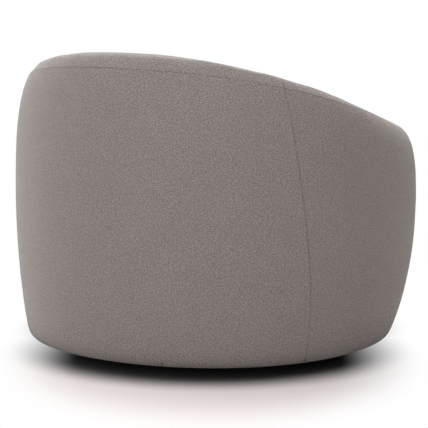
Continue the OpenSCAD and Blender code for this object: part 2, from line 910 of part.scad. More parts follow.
function crossing(x, p, rounds) = rounds == 0 ? p
    : let (a = asin(abs(x) / (plan_r(p) - opening_inset(p))))
      crossing(x, cos(p) > 0 ? a : half_turn - a, rounds - 1);
crossing_rounds = 8;
function edge_y(x, start) = let (p = crossing(x, start, crossing_rounds))
    widest_pt(p, opening_inset(p))[1];
function spring_front(x) = edge_y(x, half_turn) - spring_rest;
function spring_back(x) = edge_y(x, 0) + spring_rest;

module seat_springs() {
    color(steel)
        for (x = spring_places)
            let (front = spring_front(x), back = spring_back(x))
            let (rings = spring_rings * spring_bends(front, back))
            wire([for (i = [0:rings])
                wire_ring(spring_pt(x, front, back, i / rings),
                    spring_dir(front, back, i / rings))]);
}

clip_gap = 31;
clip_foot_w = 4;
clip_l = 10;
clip_tail = 4;

module spring_clip() {
    foot_h = spring_z + spring_wire_d / 2 + run_fit - seat_frame_height;
    half = clip_gap / 2 + clip_foot_w;
    translate([0, clip_l / 2, seat_frame_height])
        rotate([quarter, 0, 0])
            linear_extrude(clip_l)
                difference() {
                    translate([-half, 0])
                        square([2 * half, foot_h + clip_t]);
                    translate([-clip_gap / 2, -cut])
                        square([clip_gap, foot_h + cut]);
                }
}

module spring_clips() {
    color(steel)
        for (x = spring_places) {
            translate([x, spring_front(x) + clip_l / 2 - clip_tail, 0]) spring_clip();
            translate([x, spring_back(x) - clip_l / 2 + clip_tail, 0]) spring_clip();
        }
}

// Seat deck: felt over the springs, then a thin foam, both inside the pads
function deck_outline(z) = both_halves([
    for (i = [0:side_steps])
        let (p = arm_front_angle * i / side_steps)
        widest_pt(p, inner_inset(p, deck_top) + board_margin),
    for (i = [1:notch_steps])
        widest_pt(mix(arm_front_angle, apron_end_angle, i / notch_steps),
            arm_root_inset + board_margin),
    for (i = [1:apron_steps / 2])
        flat(front_pt(apron_station(i), z, behind_panel)),
]);

module deck_felt() {
    color(fibre) flat_board(felt_z, felt_t, deck_outline(felt_z));
}

module deck_pad() {
    color(foam) flat_board(deck_pad_z, deck_pad_t, deck_outline(deck_pad_z));
}

// Outside panels, from the hem up to the rim seam
back_stations = 20;
arm_stations = 16;

function outside_row(side_share, depth, from, to) = concat(
    [for (t = low_shares)
        let (z = low_z(t))
        low_pt(panel_angle(side_share, z, from, to), t, depth)],
    [for (share = roll_shares)
        let (guess = panel_angle(side_share, head_seam_z, from, to))
        let (a = share * (rim_seam_bend(guess) - rim_seam_half))
        let (z = roll_z(guess, a, 0))
        roll_pt(panel_angle(side_share, z, from, to), a, depth)]);
function panel_angle(share, z, from, to) = is_undef(from)
    ? mix(-side_seam(z) + seam_half_angle, side_seam(z) - seam_half_angle, share)
    : mix(side_seam(z) + seam_half_angle, to, share);

module outside_back() {
    color(cloth)
        between(
            [for (i = [0:back_stations]) outside_row(i / back_stations, 0)],
            [for (i = [0:back_stations]) outside_row(i / back_stations, panel_t)]);
}

module outside_arm_right() {
    end = arm_front_angle - seam_half_angle;
    color(cloth)
        between(
            [for (i = [0:arm_stations]) outside_row(i / arm_stations, 0, 0, end)],
            [for (i = [0:arm_stations]) outside_row(i / arm_stations, panel_t, 0, end)]);
}

module outside_arm_left() {
    left_hand() outside_arm_right();
}

// Inside pads, from the rim seam over the roll and down to the seat frame
pad_foot_z = seat_frame_height + soft_gap;

function pad_row(p, hidden) = concat(
    [for (share = crest_shares)
        let (start = rim_seam_bend(p) + rim_seam_half)
        let (a = mix(start, quarter, share))
        roll_pt(p, a, hidden ? mix(panel_t, rim_pad_t, share) : 0)],
    [for (b = inner_roll_angles)
        inner_roll_pt(p, b, hidden ? mix(pad_t, rim_pad_t, sin(b)) : 0)],
    [for (share = wall_shares)
        inner_wall_pt(p, mix(rim_z(p) - roll_drop, deck_top, share), hidden ? pad_t : 0)],
    [inner_wall_pt(p, pad_foot_z, hidden ? pad_t : 0)]);

module inside_pad(from, to, stations) {
    color(cloth)
        between(
            [for (i = [0:stations]) pad_row(mix(from, to, i / stations), false)],
            [for (i = [0:stations]) pad_row(mix(from, to, i / stations), true)]);
}

module inside_back() {
    end = seam_head_angle - seam_half_angle;
    inside_pad(-end, end, back_stations);
}

module inside_arm_right() {
    inside_pad(seam_head_angle + seam_half_angle, arm_front_angle - 4 * seam_half_angle,
        arm_stations);
}

module inside_arm_left() {
    left_hand() inside_arm_right();
}

// Arm fronts: foam blocks that round off the ends of the arms, hem to rim
tip_crest = 86;
tip_fall_power = 2;
arm_front_start = arm_front_angle + seam_half_angle;

function tip_angle(t) = mix(arm_front_start, arm_tip_angle, sin(t));
function outer_side(p) = concat(
    [for (t = low_shares) low_pt(p, t, 0)],
    [for (share = roll_shares) roll_pt(p, share * tip_crest, 0)]);
function inner_side(p) = concat(
    [for (t = low_shares) with_z(widest_pt(p, arm_root_inset), low_z(t))],
    [for (share = roll_shares) inner_roll_pt(p, share * tip_crest, 0)]);
function rounded(pt, middle, t) =
    let (p = mix(middle, pt, cos(t)))
    let (up = (p[2] - hem_z) / (rim_z(arm_front_start) - hem_z))
    [p[0], p[1], p[2] - arm_tip_drop * (1 - cos(t)) * pow(up, tip_fall_power)];
function tip_side(t, side) =
    let (p = tip_angle(t))
    let (outside = outer_side(p), inside = inner_side(p))
    [for (j = [0:len(outside) - 1])
        rounded(side > 0 ? outside[j] : inside[j], mix(outside[j], inside[j], 1 / 2), t)];

module arm_front_right() {
    color(cloth)
        between([for (t = tip_angles) tip_side(t, 1)], [for (t = tip_angles) tip_side(t, -1)]);
}

module arm_front_left() {
    left_hand() arm_front_right();
}

module front_apron() {
    color(cloth)
        between(apron_grid(hem_z, deck_top, 0, 0), apron_grid(hem_z, deck_top, panel_t, 0));
}

// Seat cushion: a crowned pad that fills the seat and swells over the apron
cushion_stations = 72;
cushion_low_round = 13;
cushion_seam_inset = 5;
cushion_seam_h = 8;
cushion_shoulder = 18;
cushion_crown_zone = 60;
cushion_heart_share = 0.4;
heart_drop_share = 1 / 8;
underside_t = 1.2;

function cushion_inset(p) = beyond(p) < apron_end_angle
    ? inner_inset(beyond(p), deck_top) + cushion_gap
    : mix(0, arm_root_inset + cushion_gap,
        smooth((apron_full_angle - beyond(p)) / (apron_full_angle - apron_end_angle)));
crown_rise = cushion_crown_t - cushion_edge_t;
cushion_rows = [
    [cushion_low_round, 0, 0],
    [cushion_seam_inset, cushion_seam_h, 0],
    [0, cushion_edge_t / 2, 0],
    [cushion_seam_inset, cushion_edge_t - cushion_seam_h, 1 / 2],
    [cushion_shoulder, cushion_edge_t, 1],
    [cushion_crown_zone, cushion_edge_t + crown_rise / 2, 1],
];

function cushion_row(row, depth, foot) = [
    for (i = [0:cushion_stations - 1])
        let (p = 2 * half_turn * i / cushion_stations - half_turn)
        with_z(widest_pt(p, cushion_inset(p) + row[0] + depth),
            row[1] == 0 ? foot : cushion_z + row[1] - depth * row[2])];
function cushion_heart(depth) = [
    for (i = [0:cushion_stations - 1])
        let (p = 2 * half_turn * i / cushion_stations - half_turn)
        with_z([0, widest_y] + cushion_heart_share
            * (plan_r(p) - cushion_inset(p) - depth) * outward(p),
            cushion_z + cushion_crown_t - crown_rise * heart_drop_share - depth)];

function cushion_points(depth, foot) = concat(
    [for (row = cushion_rows) each cushion_row(row, depth, foot)],
    cushion_heart(depth),
    [[0, widest_y, cushion_z + cushion_crown_t - depth]]);
function cushion_faces(first, turned) =
    let (n = cushion_stations, last = len(cushion_rows))
    [for (j = [0:last]) for (i = [0:n - 1])
        let (a = first + j * n + i, b = first + j * n + (i + 1) % n)
        let (c = j < last ? b + n : first + (last + 1) * n)
        each (j < last
            ? [turned ? [a, b, c] : [a, c, b], turned ? [a, c, a + n] : [a, a + n, c]]
            : [turned ? [a, b, c] : [a, c, b]])];

module cushion_cover() {
    n = cushion_stations;
    inside = n * (len(cushion_rows) + 1) + 1;
    color(cloth)
        polyhedron(
            points = concat(cushion_points(0, cushion_z), cushion_points(cover_t, cushion_z)),
            faces = concat(cushion_faces(0, false), cushion_faces(inside, true),
                [for (i = [0:n - 1])
                    let (k = (i + 1) % n)
                    each [[i, k, inside + k], [i, inside + k, inside + i]]]));
}

module cushion_core() {
    n = cushion_stations;
    foot = cushion_z + underside_t + soft_gap;
    color(foam)
        polyhedron(
            points = concat(cushion_points(cover_t + soft_gap, foot), [[0, widest_y, foot]]),
            faces = concat(cushion_faces(0, false),
                [for (i = [0:n - 1])
                    [i, (i + 1) % n, n * (len(cushion_rows) + 1) + 1]]));
}

module cushion_underside() {
    color(black_cloth)
        flat_board(cushion_z, underside_t,
            [for (pt = cushion_row(cushion_rows[0], cover_t + soft_gap, 0)) flat(pt)]);
}

glides();
glide_bolts();
glide_nuts();
base_ring();
cross_bars();
lower_plate();
lower_race();
plate_bolts();
plate_nuts();
king_pin();
king_nut();
ball_cage();
bearing_balls();
upper_race();
upper_plate();
swivel_bolts();
tee_nuts();
plinth_ring();
floor_panel();
dust_cover();
base_posts();
glue_blocks();
seat_frame();
back_ribs();
arm_ribs();
back_rail();
arm_rail_right();
arm_rail_left();
arm_stump_right();
arm_stump_left();
back_liner();
arm_liner_right();
arm_liner_left();
apron_board();
back_webbing();
seat_springs();
spring_clips();
deck_felt();
deck_pad();
outside_back();
outside_arm_right();
outside_arm_left();
inside_back();
inside_arm_right();
inside_arm_left();
arm_front_right();
arm_front_left();
front_apron();
cushion_cover();
cushion_core();
cushion_underside();
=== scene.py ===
"""Looks of the swivel tub chair, laid out as a Blender add-on and run as a script."""

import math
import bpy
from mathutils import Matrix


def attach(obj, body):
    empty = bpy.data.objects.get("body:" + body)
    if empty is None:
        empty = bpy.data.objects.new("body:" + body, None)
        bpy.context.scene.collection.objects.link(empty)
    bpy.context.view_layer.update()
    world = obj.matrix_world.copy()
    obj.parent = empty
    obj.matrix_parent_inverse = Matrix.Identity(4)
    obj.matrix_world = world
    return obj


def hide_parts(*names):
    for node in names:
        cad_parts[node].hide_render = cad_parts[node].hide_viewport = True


bl_info = {
    "name": "Swivel tub chair looks",
    "version": (1, 0, 0),
    "blender": (4, 5, 0),
    "location": "3D View > Sidebar > Tub chair",
    "description": "Upholstery, frame finishes and studio for the packed tub chair",
    "category": "Object",
}

import bmesh
import bpy
import numpy as np
from mathutils import Vector, kdtree, noise
from mathutils.bvhtree import BVHTree

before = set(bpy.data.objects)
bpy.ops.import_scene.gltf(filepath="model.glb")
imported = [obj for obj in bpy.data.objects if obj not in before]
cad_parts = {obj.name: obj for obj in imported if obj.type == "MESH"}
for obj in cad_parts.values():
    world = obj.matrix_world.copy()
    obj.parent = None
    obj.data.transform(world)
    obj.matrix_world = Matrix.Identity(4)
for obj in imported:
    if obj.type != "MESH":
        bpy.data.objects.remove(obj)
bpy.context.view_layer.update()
BODY = "seat"


# Sizes and colours that a user would change

def length_value(name, about, value, least, most):
    return bpy.props.FloatProperty(name=name, description=about, default=value, min=least,
                                   max=most, unit="LENGTH", subtype="DISTANCE")


def colour_value(name, about, value):
    return bpy.props.FloatVectorProperty(name=name, description=about, default=value,
                                         size=3, min=0, max=1, subtype="COLOR")


def power_value(name, about, value):
    return bpy.props.FloatProperty(name=name, description=about, default=value, min=0,
                                   max=1000, unit="POWER")


class UpholsterySizes(bpy.types.PropertyGroup):
    seam_radius: length_value(
        "Seam radius", "How round the cloth turns in to a seam", 0.0004, 0.0002, 0.004)
    foam_radius: length_value(
        "Foam edge radius", "How round the edges of the bare foam are", 0.004, 0.001, 0.008)
    hem_roll: length_value(
        "Hem roll", "How far the cloth is drawn in at the hem", 0.005, 0.0, 0.0075)
    hem_height: length_value(
        "Hem height", "Height over which the cloth turns in to the hem", 0.02, 0.005, 0.06)
    pad_swell: length_value(
        "Pad swell", "Most that a pad may swell beyond its solid", 0.006, 0.0, 0.012)
    cushion_swell: length_value(
        "Cushion swell", "Most that the seat cushion may swell", 0.012, 0.0, 0.02)
    pressure: bpy.props.FloatProperty(
        name="Filling pressure", description="Pressure of the filling in the cloth simulation",
        default=4.0, min=1.0, max=8.0)
    ease: bpy.props.FloatProperty(
        name="Cloth ease", description="How much the cloth is cut larger than the pad",
        default=0.02, min=0.0, max=0.08)
    ripple: length_value(
        "Ripple", "Height of the slow unevenness of tight cloth", 0.0007, 0.0, 0.003)
    ripple_length: length_value(
        "Ripple length", "Length of that unevenness", 0.085, 0.03, 0.3)


class ClothColours(bpy.types.PropertyGroup):
    ground: colour_value(
        "Ground yarn", "Colour between the loops of the boucle", (0.151, 0.131, 0.1235))
    loop: colour_value(
        "Loop yarn", "Colour of the loops of the boucle", (0.270, 0.240, 0.2275))
    loop_size: length_value(
        "Loop size", "Width of one loop of the boucle", 0.0042, 0.001, 0.01)
    nap_height: length_value(
        "Nap height", "Height of the loops in the bump", 0.0011, 0.0, 0.004)
    # Painted shade at the hem: the cloth's colour is made darker towards its lowest edge,
    # fading upwards over the hem fade height
    painted_hem_shade: bpy.props.FloatProperty(
        name="Hem shade", description="How much darker the cloth is where it meets the hem",
        default=0.6, min=0.0, max=0.8)
    hem_fade: length_value(
        "Hem fade", "Height over which the hem shade fades", 0.0135, 0.002, 0.1)


class FrameColours(bpy.types.PropertyGroup):
    ply_light: colour_value(
        "Light veneer", "Light bands of the birch plywood", (0.56, 0.36, 0.17))
    ply_dark: colour_value(
        "Dark veneer", "Dark bands of the birch plywood", (0.40, 0.22, 0.09))
    hardboard: colour_value(
        "Hardboard", "Colour of the liner boards", (0.20, 0.11, 0.05))
    foam: colour_value(
        "Foam", "Colour of the bare foam", (0.82, 0.75, 0.54))
    black_cloth: colour_value(
        "Lining cloth", "Colour of the lining cloth and straps", (0.012, 0.012, 0.013))


class StudioSizes(bpy.types.PropertyGroup):
    turn: bpy.props.FloatProperty(
        name="Camera turn", description="Turn of the camera from straight behind",
        default=math.radians(30), unit="ROTATION", subtype="ANGLE")
    tilt: bpy.props.FloatProperty(
        name="Camera tilt", description="Tilt of the camera below the horizon",
        default=math.radians(8.978), unit="ROTATION", subtype="ANGLE")
    distance: length_value(
        "Camera distance", "Distance of the camera along the floor", 4.2, 1, 10)
    height: length_value(
        "Camera height", "Height of the lens over the floor", 0.9417, 0.1, 4)
    lens: bpy.props.FloatProperty(
        name="Lens", description="Focal length in millimetres",
        default=160.92, min=20, max=300)
    left_rear: power_value(
        "Left rear light", "Power of the soft light behind, on the left", 30)
    left: power_value(
        "Left light", "Power of the soft light on the camera's left", 14)
    front: power_value(
        "Front light", "Power of the soft light beside the camera", 23)
    right_rear: power_value(
        "Right rear light", "Power of the soft light behind, on the right", 15)
    top: power_value(
        "Top light", "Power of the soft light overhead", 39)
    top_front: power_value(
        "High front light", "Power of the high light over the camera", 30)
    top_back: power_value(
        "High rear light", "Power of the high light behind the chair", 100)
    fill: bpy.props.FloatProperty(
        name="Air light", description="Strength of the even light from all round",
        default=0.03, min=0, max=1)


# Places and sizes of the upholstery that stay as they are

# Points of a CAD solid closer than this are one
MERGE_DISTANCE = 0.00002
# Within these angles, between them and at their corners, two triangles make a quad
QUAD_FACE_ANGLE = math.radians(30)
QUAD_SHAPE_ANGLE = math.radians(60)
# Edges sharper than this are seams
SEAM_ANGLE = math.radians(42)
# Distance between the points that stand for a seam
SEAM_STEP = 0.002
# Most that a level seam climbs, and that a seam across the shell runs round it, as shares
LEVEL_CLIMB_SHARE = 0.3
ACROSS_RUN_SHARE = 0.5
# Furthest distance from a seam that is stored for the cloth
SEAM_REACH = 0.05
# Distance from its edges over which tight cloth goes from smooth to rippled
SMOOTH_REACH = 0.015
# Height and length of the fine ripples, as shares of those of the broad ones
FINE_HEIGHT_SHARE = 0.5
FINE_LENGTH_SHARE = 0.4
# Lowest level of the outside panels, and their thickness
HEM_LOW = 0.028
PANEL_DEPTH = 0.008
# Points whose normal leans outwards by more than this share are on the outer face
OUTWARD_SHARE = 0.5
# Ends of the small tuck in the hem of the back, drawn only as painted shade and a bump in the
# cloth, with no fold in the mesh
HEM_TUCK = Vector((-0.1081, 0.3960, 0.0358)), Vector((-0.1070, 0.3926, 0.0285))
# Points whose way outwards meets another piece within this reach are hidden
HIDDEN_REACH = 0.06
# Distance over a point at which that way starts, clear of the piece itself
HIDDEN_START = 0.0002
# How often hidden points and the shape of the filling are evened out
HIDDEN_ROUNDS = 12
SWELL_ROUNDS = 4
# Width at a pad's edges that is held fast, and the further width over which the hold ends
HELD_FAST = 0.003
HELD_WIDTH = 0.022
CUSHION_HELD_WIDTH = 0.03
# How the filled cloth gives, in the simulation's own units, and for how many frames it runs
CLOTH_GIVE = {"quality": 4, "mass": 0.4, "tension_stiffness": 25, "compression_stiffness": 12,
              "shear_stiffness": 8, "bending_stiffness": 2}
CLOTH_FRAMES = 20
# Most that filled cloth sinks, and the share of its sideways slip that is kept
MOST_SINK = 0.001
SLIP_SHARE = 0.5
# Smallest length told apart from none
TINY = 1e-9
# How far the foam core keeps within its solid, clear of the cover
CORE_INSET = 0.002
# How round the edges of the elastic straps are
STRAP_RADIUS = 0.0004
# Levels of subdivision of a tight panel, and of a filled pad before and after it swells
PANEL_LEVELS = 3
PAD_LEVELS = 2, 1
CUSHION_LEVELS = 1, 1


# Small tools

def settings():
    return bpy.context.scene


def pick(obj):
    """Leaves only this object selected, and active."""
    bpy.ops.object.select_all(action="DESELECT")
    obj.select_set(True)
    bpy.context.view_layer.objects.active = obj


def read_points(obj):
    return [v.co.copy() for v in obj.data.vertices]


def write_points(obj, points):
    obj.data.vertices.foreach_set("co", [x for p in points for x in p])
    obj.data.update()


def solid_copy(node, name):
    """A free copy of a CAD solid, its triangles merged into quads."""
    pick(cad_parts[node])
    bpy.ops.object.duplicate()
    obj = bpy.context.view_layer.objects.active
    obj.name = name
    obj.data.name = name
    for key in [k for k in obj.keys() if k.startswith("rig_")]:
        del obj[key]
    obj.data.materials.clear()
    pick(obj)
    bpy.ops.object.mode_set(mode="EDIT")
    bpy.ops.mesh.select_all(action="SELECT")
    bpy.ops.mesh.remove_doubles(threshold=MERGE_DISTANCE)
    bpy.ops.mesh.tris_convert_to_quads(
        face_threshold=QUAD_FACE_ANGLE, shape_threshold=QUAD_SHAPE_ANGLE)
    bpy.ops.mesh.normals_make_consistent(inside=False)
    bpy.ops.object.mode_set(mode="OBJECT")
    return obj


def sharp_line(obj, run=None):
    """Points every few millimetres along a solid's sharp edges, as a search tree.
    Only those that run level or across the shell count, where run says so."""
    mesh = bmesh.new()
    mesh.from_mesh(obj.data)
    found = []
    for edge in mesh.edges:
        if len(edge.link_faces) == 2 and edge.calc_face_angle(0) > SEAM_ANGLE:
            a, b = edge.verts[0].co, edge.verts[1].co
            length = (b - a).length
            if run == "level" and abs(a.z - b.z) > LEVEL_CLIMB_SHARE * length:
                continue
            around = Vector((-(a.y + b.y), a.x + b.x, 0)).normalized()
            if run == "across" and abs((b - a).dot(around)) > ACROSS_RUN_SHARE * length:
                continue
            steps = max(1, int(length / SEAM_STEP))
            found += [a.lerp(b, i / steps) for i in range(steps + 1)]
    mesh.free()
    tree = kdtree.KDTree(len(found))
    for i, point in enumerate(found):
        tree.insert(point, i)
    tree.balance()
    return tree


def round_edges(obj, radius, segments=2):
    """Rounds a solid's sharp edges."""
    pick(obj)
    bpy.ops.object.mode_set(mode="EDIT")
    bpy.ops.mesh.select_mode(type="EDGE")
    bpy.ops.mesh.select_all(action="DESELECT")
    bpy.ops.mesh.edges_select_sharp(sharpness=SEAM_ANGLE)
    bpy.ops.mesh.bevel(offset=radius, offset_type="OFFSET", segments=segments,
                       profile=0.5, affect="EDGES", clamp_overlap=True)
    bpy.ops.object.mode_set(mode="OBJECT")


def subdivide(obj, levels):
    pick(obj)
    bpy.ops.object.modifier_add(type="SUBSURF")
    modifier = obj.modifiers[-1]
    modifier.levels = modifier.render_levels = levels
    bpy.ops.object.modifier_apply(modifier=modifier.name)


def neighbours_of(node):
    """A search tree of every CAD solid but this one."""
    points, faces = [], []
    for name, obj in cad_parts.items():
        if name == node:
            continue
        first = len(points)
        points += [v.co.copy() for v in obj.data.vertices]
        faces += [[first + i for i in p.vertices] for p in obj.data.polygons]
    return BVHTree.FromPolygons(points, faces)


def hidden_share(obj, others):
    """1 for each point whose way out meets another piece, else 0, evened out."""
    shares = []
    for vertex in obj.data.vertices:
        start = vertex.co + vertex.normal * HIDDEN_START
        hit = others.ray_cast(start, vertex.normal, HIDDEN_REACH)
        shares.append(0.0 if hit[0] is None else 1.0)
    shares = np.array(shares).reshape(-1, 1)
    return even_out(obj, shares, HIDDEN_ROUNDS, shares)


def even_out(obj, values, rounds, least=None):
    """Spreads rows of values over a mesh's neighbouring points, none falling under least."""
    ends = np.zeros(2 * len(obj.data.edges), dtype=np.int32)
    obj.data.edges.foreach_get("vertices", ends)
    first, second = ends[0::2], ends[1::2]
    size = len(values)
    count = np.bincount(ends, minlength=size).reshape(-1, 1)
    for _ in range(rounds):
        total = np.stack([np.bincount(first, column[second], size)
                          + np.bincount(second, column[first], size)
                          for column in values.T], axis=1)
        values = 0.5 * values + 0.5 * total / count
        if least is not None:
            values = np.maximum(values, least)
    return values


def swell(obj, edges, others, most, held_width):
    """Fills a pad with air in a cloth simulation, held at its edges and where it is hidden."""
    sizes = settings().chair_upholstery
    before = np.array(read_points(obj))
    outward = np.array([v.normal for v in obj.data.vertices])
    hidden = hidden_share(obj, others)
    held = obj.vertex_groups.new(name="held")
    for i, point in enumerate(before):
        distance = edges.find(point)[2]
        at_edge = max(0.0, 1.0 - max(0.0, distance - HELD_FAST) / held_width)
        held.add([i], max(at_edge, float(hidden[i, 0])), "REPLACE")
    pick(obj)
    bpy.ops.object.modifier_add(type="CLOTH")
    cloth = obj.modifiers[-1]
    cloth.settings.vertex_group_mass = "held"
    cloth.settings.use_pressure = True
    cloth.settings.uniform_pressure_force = sizes.pressure
    for key, value in CLOTH_GIVE.items():
        setattr(cloth.settings, key, value)
    cloth.settings.shrink_min = -sizes.ease
    cloth.settings.effector_weights.gravity = 0
    cloth.point_cache.frame_start = 1
    cloth.point_cache.frame_end = CLOTH_FRAMES
    for number in range(1, CLOTH_FRAMES + 1):
        bpy.context.scene.frame_set(number)
    bpy.ops.object.modifier_apply(modifier=cloth.name)
    bpy.context.scene.frame_set(1)
    step = np.array(read_points(obj)) - before
    rise = (step * outward).sum(1, keepdims=True)
    step = outward * np.maximum(rise, -MOST_SINK) + (step - outward * rise) * SLIP_SHARE
    length = np.maximum(np.linalg.norm(step, axis=1, keepdims=True), TINY)
    limit = np.maximum(most * (1 - hidden), TINY)
    step = even_out(obj, step * limit * np.tanh(length / limit) / length, SWELL_ROUNDS)
    write_points(obj, before + step * (1 - hidden))
    obj.vertex_groups.clear()


def ripple(obj, edges, seed):
    """Slow unevenness of tight cloth, none at the edges, where two panels meet."""
    sizes = settings().chair_upholstery
    broad = sizes.ripple_length
    fine = FINE_LENGTH_SHARE * broad
    points = read_points(obj)
    normals = [v.normal.copy() for v in obj.data.vertices]
    for i, point in enumerate(points):
        wave = noise.noise(point / broad + Vector((seed, 0, 0)))
        wave += FINE_HEIGHT_SHARE * noise.noise(point / fine + Vector((0, seed, 0)))
        away = 1 - math.exp(-edges.find(point)[2] / SMOOTH_REACH)
        points[i] = point + normals[i] * (sizes.ripple * wave * away)
    write_points(obj, points)


def roll_hem(obj):
    """Rounds the outer face in to the hem, within the panel's own thickness."""
    sizes = settings().chair_upholstery
    points = read_points(obj)
    normals = [v.normal.copy() for v in obj.data.vertices]
    outer = kdtree.KDTree(len(points))
    for i, (point, normal) in enumerate(zip(points, normals)):
        if normal.dot(Vector((point.x, point.y, 0)).normalized()) > OUTWARD_SHARE:
            outer.insert(point, i)
    outer.balance()
    for i, point in enumerate(points):
        down = 1 - (point.z - HEM_LOW) / sizes.hem_height
        if down <= 0:
            continue
        index, deep = outer.find(point)[1:]
        inward = Vector((-normals[index].x, -normals[index].y, 0)).normalized()
        share = 1 - math.sqrt(1 - min(1, down) ** 2)
        share *= max(0.0, 1 - deep / PANEL_DEPTH)
        points[i] = point + inward * (sizes.hem_roll * share)
    write_points(obj, points)


def mark_seams(obj, seams):
    """Stores each point's distance from a seam, for the cloth material."""
    marks = obj.data.attributes.new("seam_distance", "FLOAT", "POINT")
    values = [min(SEAM_REACH, seams.find(v.co)[2]) for v in obj.data.vertices]
    marks.data.foreach_set("value", values)


def dress(obj, node, material):
    """Gives a piece its finish and smooth shading, hides the CAD node it stands for and hangs
    it on the body.
    """
    obj.data.materials.append(material)
    pick(obj)
    bpy.ops.object.shade_smooth()
    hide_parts(node)
    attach(obj, BODY)
    return obj


# Materials

def add(tree, kind, x, y, **values):
    node = tree.nodes.new(kind)
    node.location = (x, y)
    for key, value in values.items():
        setattr(node, key, value)
    return node


def feed(tree, node, inputs):
    """Sets or links a node's inputs, given by name or place."""
    for key, value in inputs.items():
        if isinstance(value, bpy.types.NodeSocket):
            tree.links.new(value, node.inputs[key])
        else:
            node.inputs[key].default_value = value
    return node


def maths(tree, operation, x, y, *values):
    node = add(tree, "ShaderNodeMath", x, y, operation=operation)
    feed(tree, node, dict(enumerate(values)))
    return node.outputs[0]


# Vector operations whose result is a number
NUMBER_RESULTS = "LENGTH", "DISTANCE", "DOT_PRODUCT"


def vectors(tree, operation, x, y, *values):
    node = add(tree, "ShaderNodeVectorMath", x, y, operation=operation)
    feed(tree, node, dict(zip((0, "Scale") if operation == "SCALE" else range(3), values)))
    return node.outputs["Value" if operation in NUMBER_RESULTS else "Vector"]


def clouds(tree, x, y, place, scale, detail, roughness=0.5, distortion=0.0):
    """A noise texture, which gives out a number as Fac and a colour as Color."""
    return feed(tree, add(tree, "ShaderNodeTexNoise", x, y), {
        "Vector": place, "Scale": scale, "Detail": detail, "Roughness": roughness,
        "Distortion": distortion}).outputs


def blend_colour(tree, x, y, share, first, second):
    node = add(tree, "ShaderNodeMix", x, y, data_type="RGBA")
    feed(tree, node, {0: share, 6: first, 7: second})
    return node.outputs[2]


def spread(tree, x, y, value, low, high):
    """0 at the low value, 1 at the high one, and smooth between them."""
    node = add(tree, "ShaderNodeMapRange", x, y, interpolation_type="SMOOTHSTEP")
    feed(tree, node, {"Value": value, "From Min": low, "From Max": high})
    return node.outputs["Result"]


def new_group(name, inputs, outputs):
    """A shader node group, with its input node and its output node. Its sockets are rows of
    a name, a kind and, where they are given, a default, a least and a greatest value."""
    group = bpy.data.node_groups.new(name, "ShaderNodeTree")
    for way, rows in (("INPUT", inputs), ("OUTPUT", outputs)):
        for label, kind, *values in rows:
            socket = group.interface.new_socket(
                name=label, in_out=way, socket_type="NodeSocket" + kind)
            for key, value in zip(("default_value", "min_value", "max_value"), values):
                setattr(socket, key, value)
    start = add(group, "NodeGroupInput", -1400, 0)
    end = add(group, "NodeGroupOutput", 900, 0)
    return group, start, end


MASK_AND_HEIGHT = ("Mask", "Float"), ("Height", "Float")


def beside(tree, x, y, place, first, last):
    """Distance from the straight line between two points."""
    run = last - first
    apart = vectors(tree, "SUBTRACT", x, y, place, first)
    along = vectors(tree, "DOT_PRODUCT", x + 180, y, apart, run / run.length_squared)
    share = feed(tree, add(tree, "ShaderNodeClamp", x + 360, y), {"Value": along})
    nearest = vectors(tree, "SCALE", x + 540, y, run, share.outputs[0])
    return vectors(tree, "DISTANCE", x + 720, y, apart, nearest)


# Bends of the pattern, strands and threads to the width of one loop
BENDS, STRANDS, THREADS = 0.6, 1.9, 1.8
# Faint clouds and puckers to a metre of cloth, and how dark and light the clouds are
CLOUDS, PUCKERS = 9.0, 120.0
CLOUD_SHADES = 0.98, 1.02
# Depths in the cloth at which the noise of its threads is read
THREAD_DEPTHS = -0.0024, -0.0008, 0.0008, 0.0024
# How far the loops are bent out of their even pattern
LOOP_BEND = 0.006
# Distance from a loop's edge at which its crown is full, as a share of the loop
CROWN_EDGE = 0.3
# Share of the crowns and of the strands in the height of the pile, beside the threads
PILE_SHARE = 0.1
# Heights of the pile at which it shows the ground yarn alone and the loop yarn alone
PILE_SPAN = 1.66, 2.58
# Shares of the strands and of the gathered cloth in the bump, beside the crowns
STRAND_BUMP = 0.7
GATHER_BUMP = 1.2
# Distances from a seam at which its line of painted shade ends and is full, and how dark that
# painted shade is
SEAM_LINE = 0.0021, 0.0004
SEAM_PAINTED_SHADE = 0.42
# Strengths of a strand at which it covers that line and lets it show
SEAM_BREAK = 0.3, 0.6
# The same distances and darkness for the painted shade of the tuck in the hem
TUCK_LINE = 0.0027, 0.0009
TUCK_PAINTED_SHADE = 0.45
# Distances from a seam at which the gathered cloth beside it ends and is full
GATHER = 0.016, 0.001


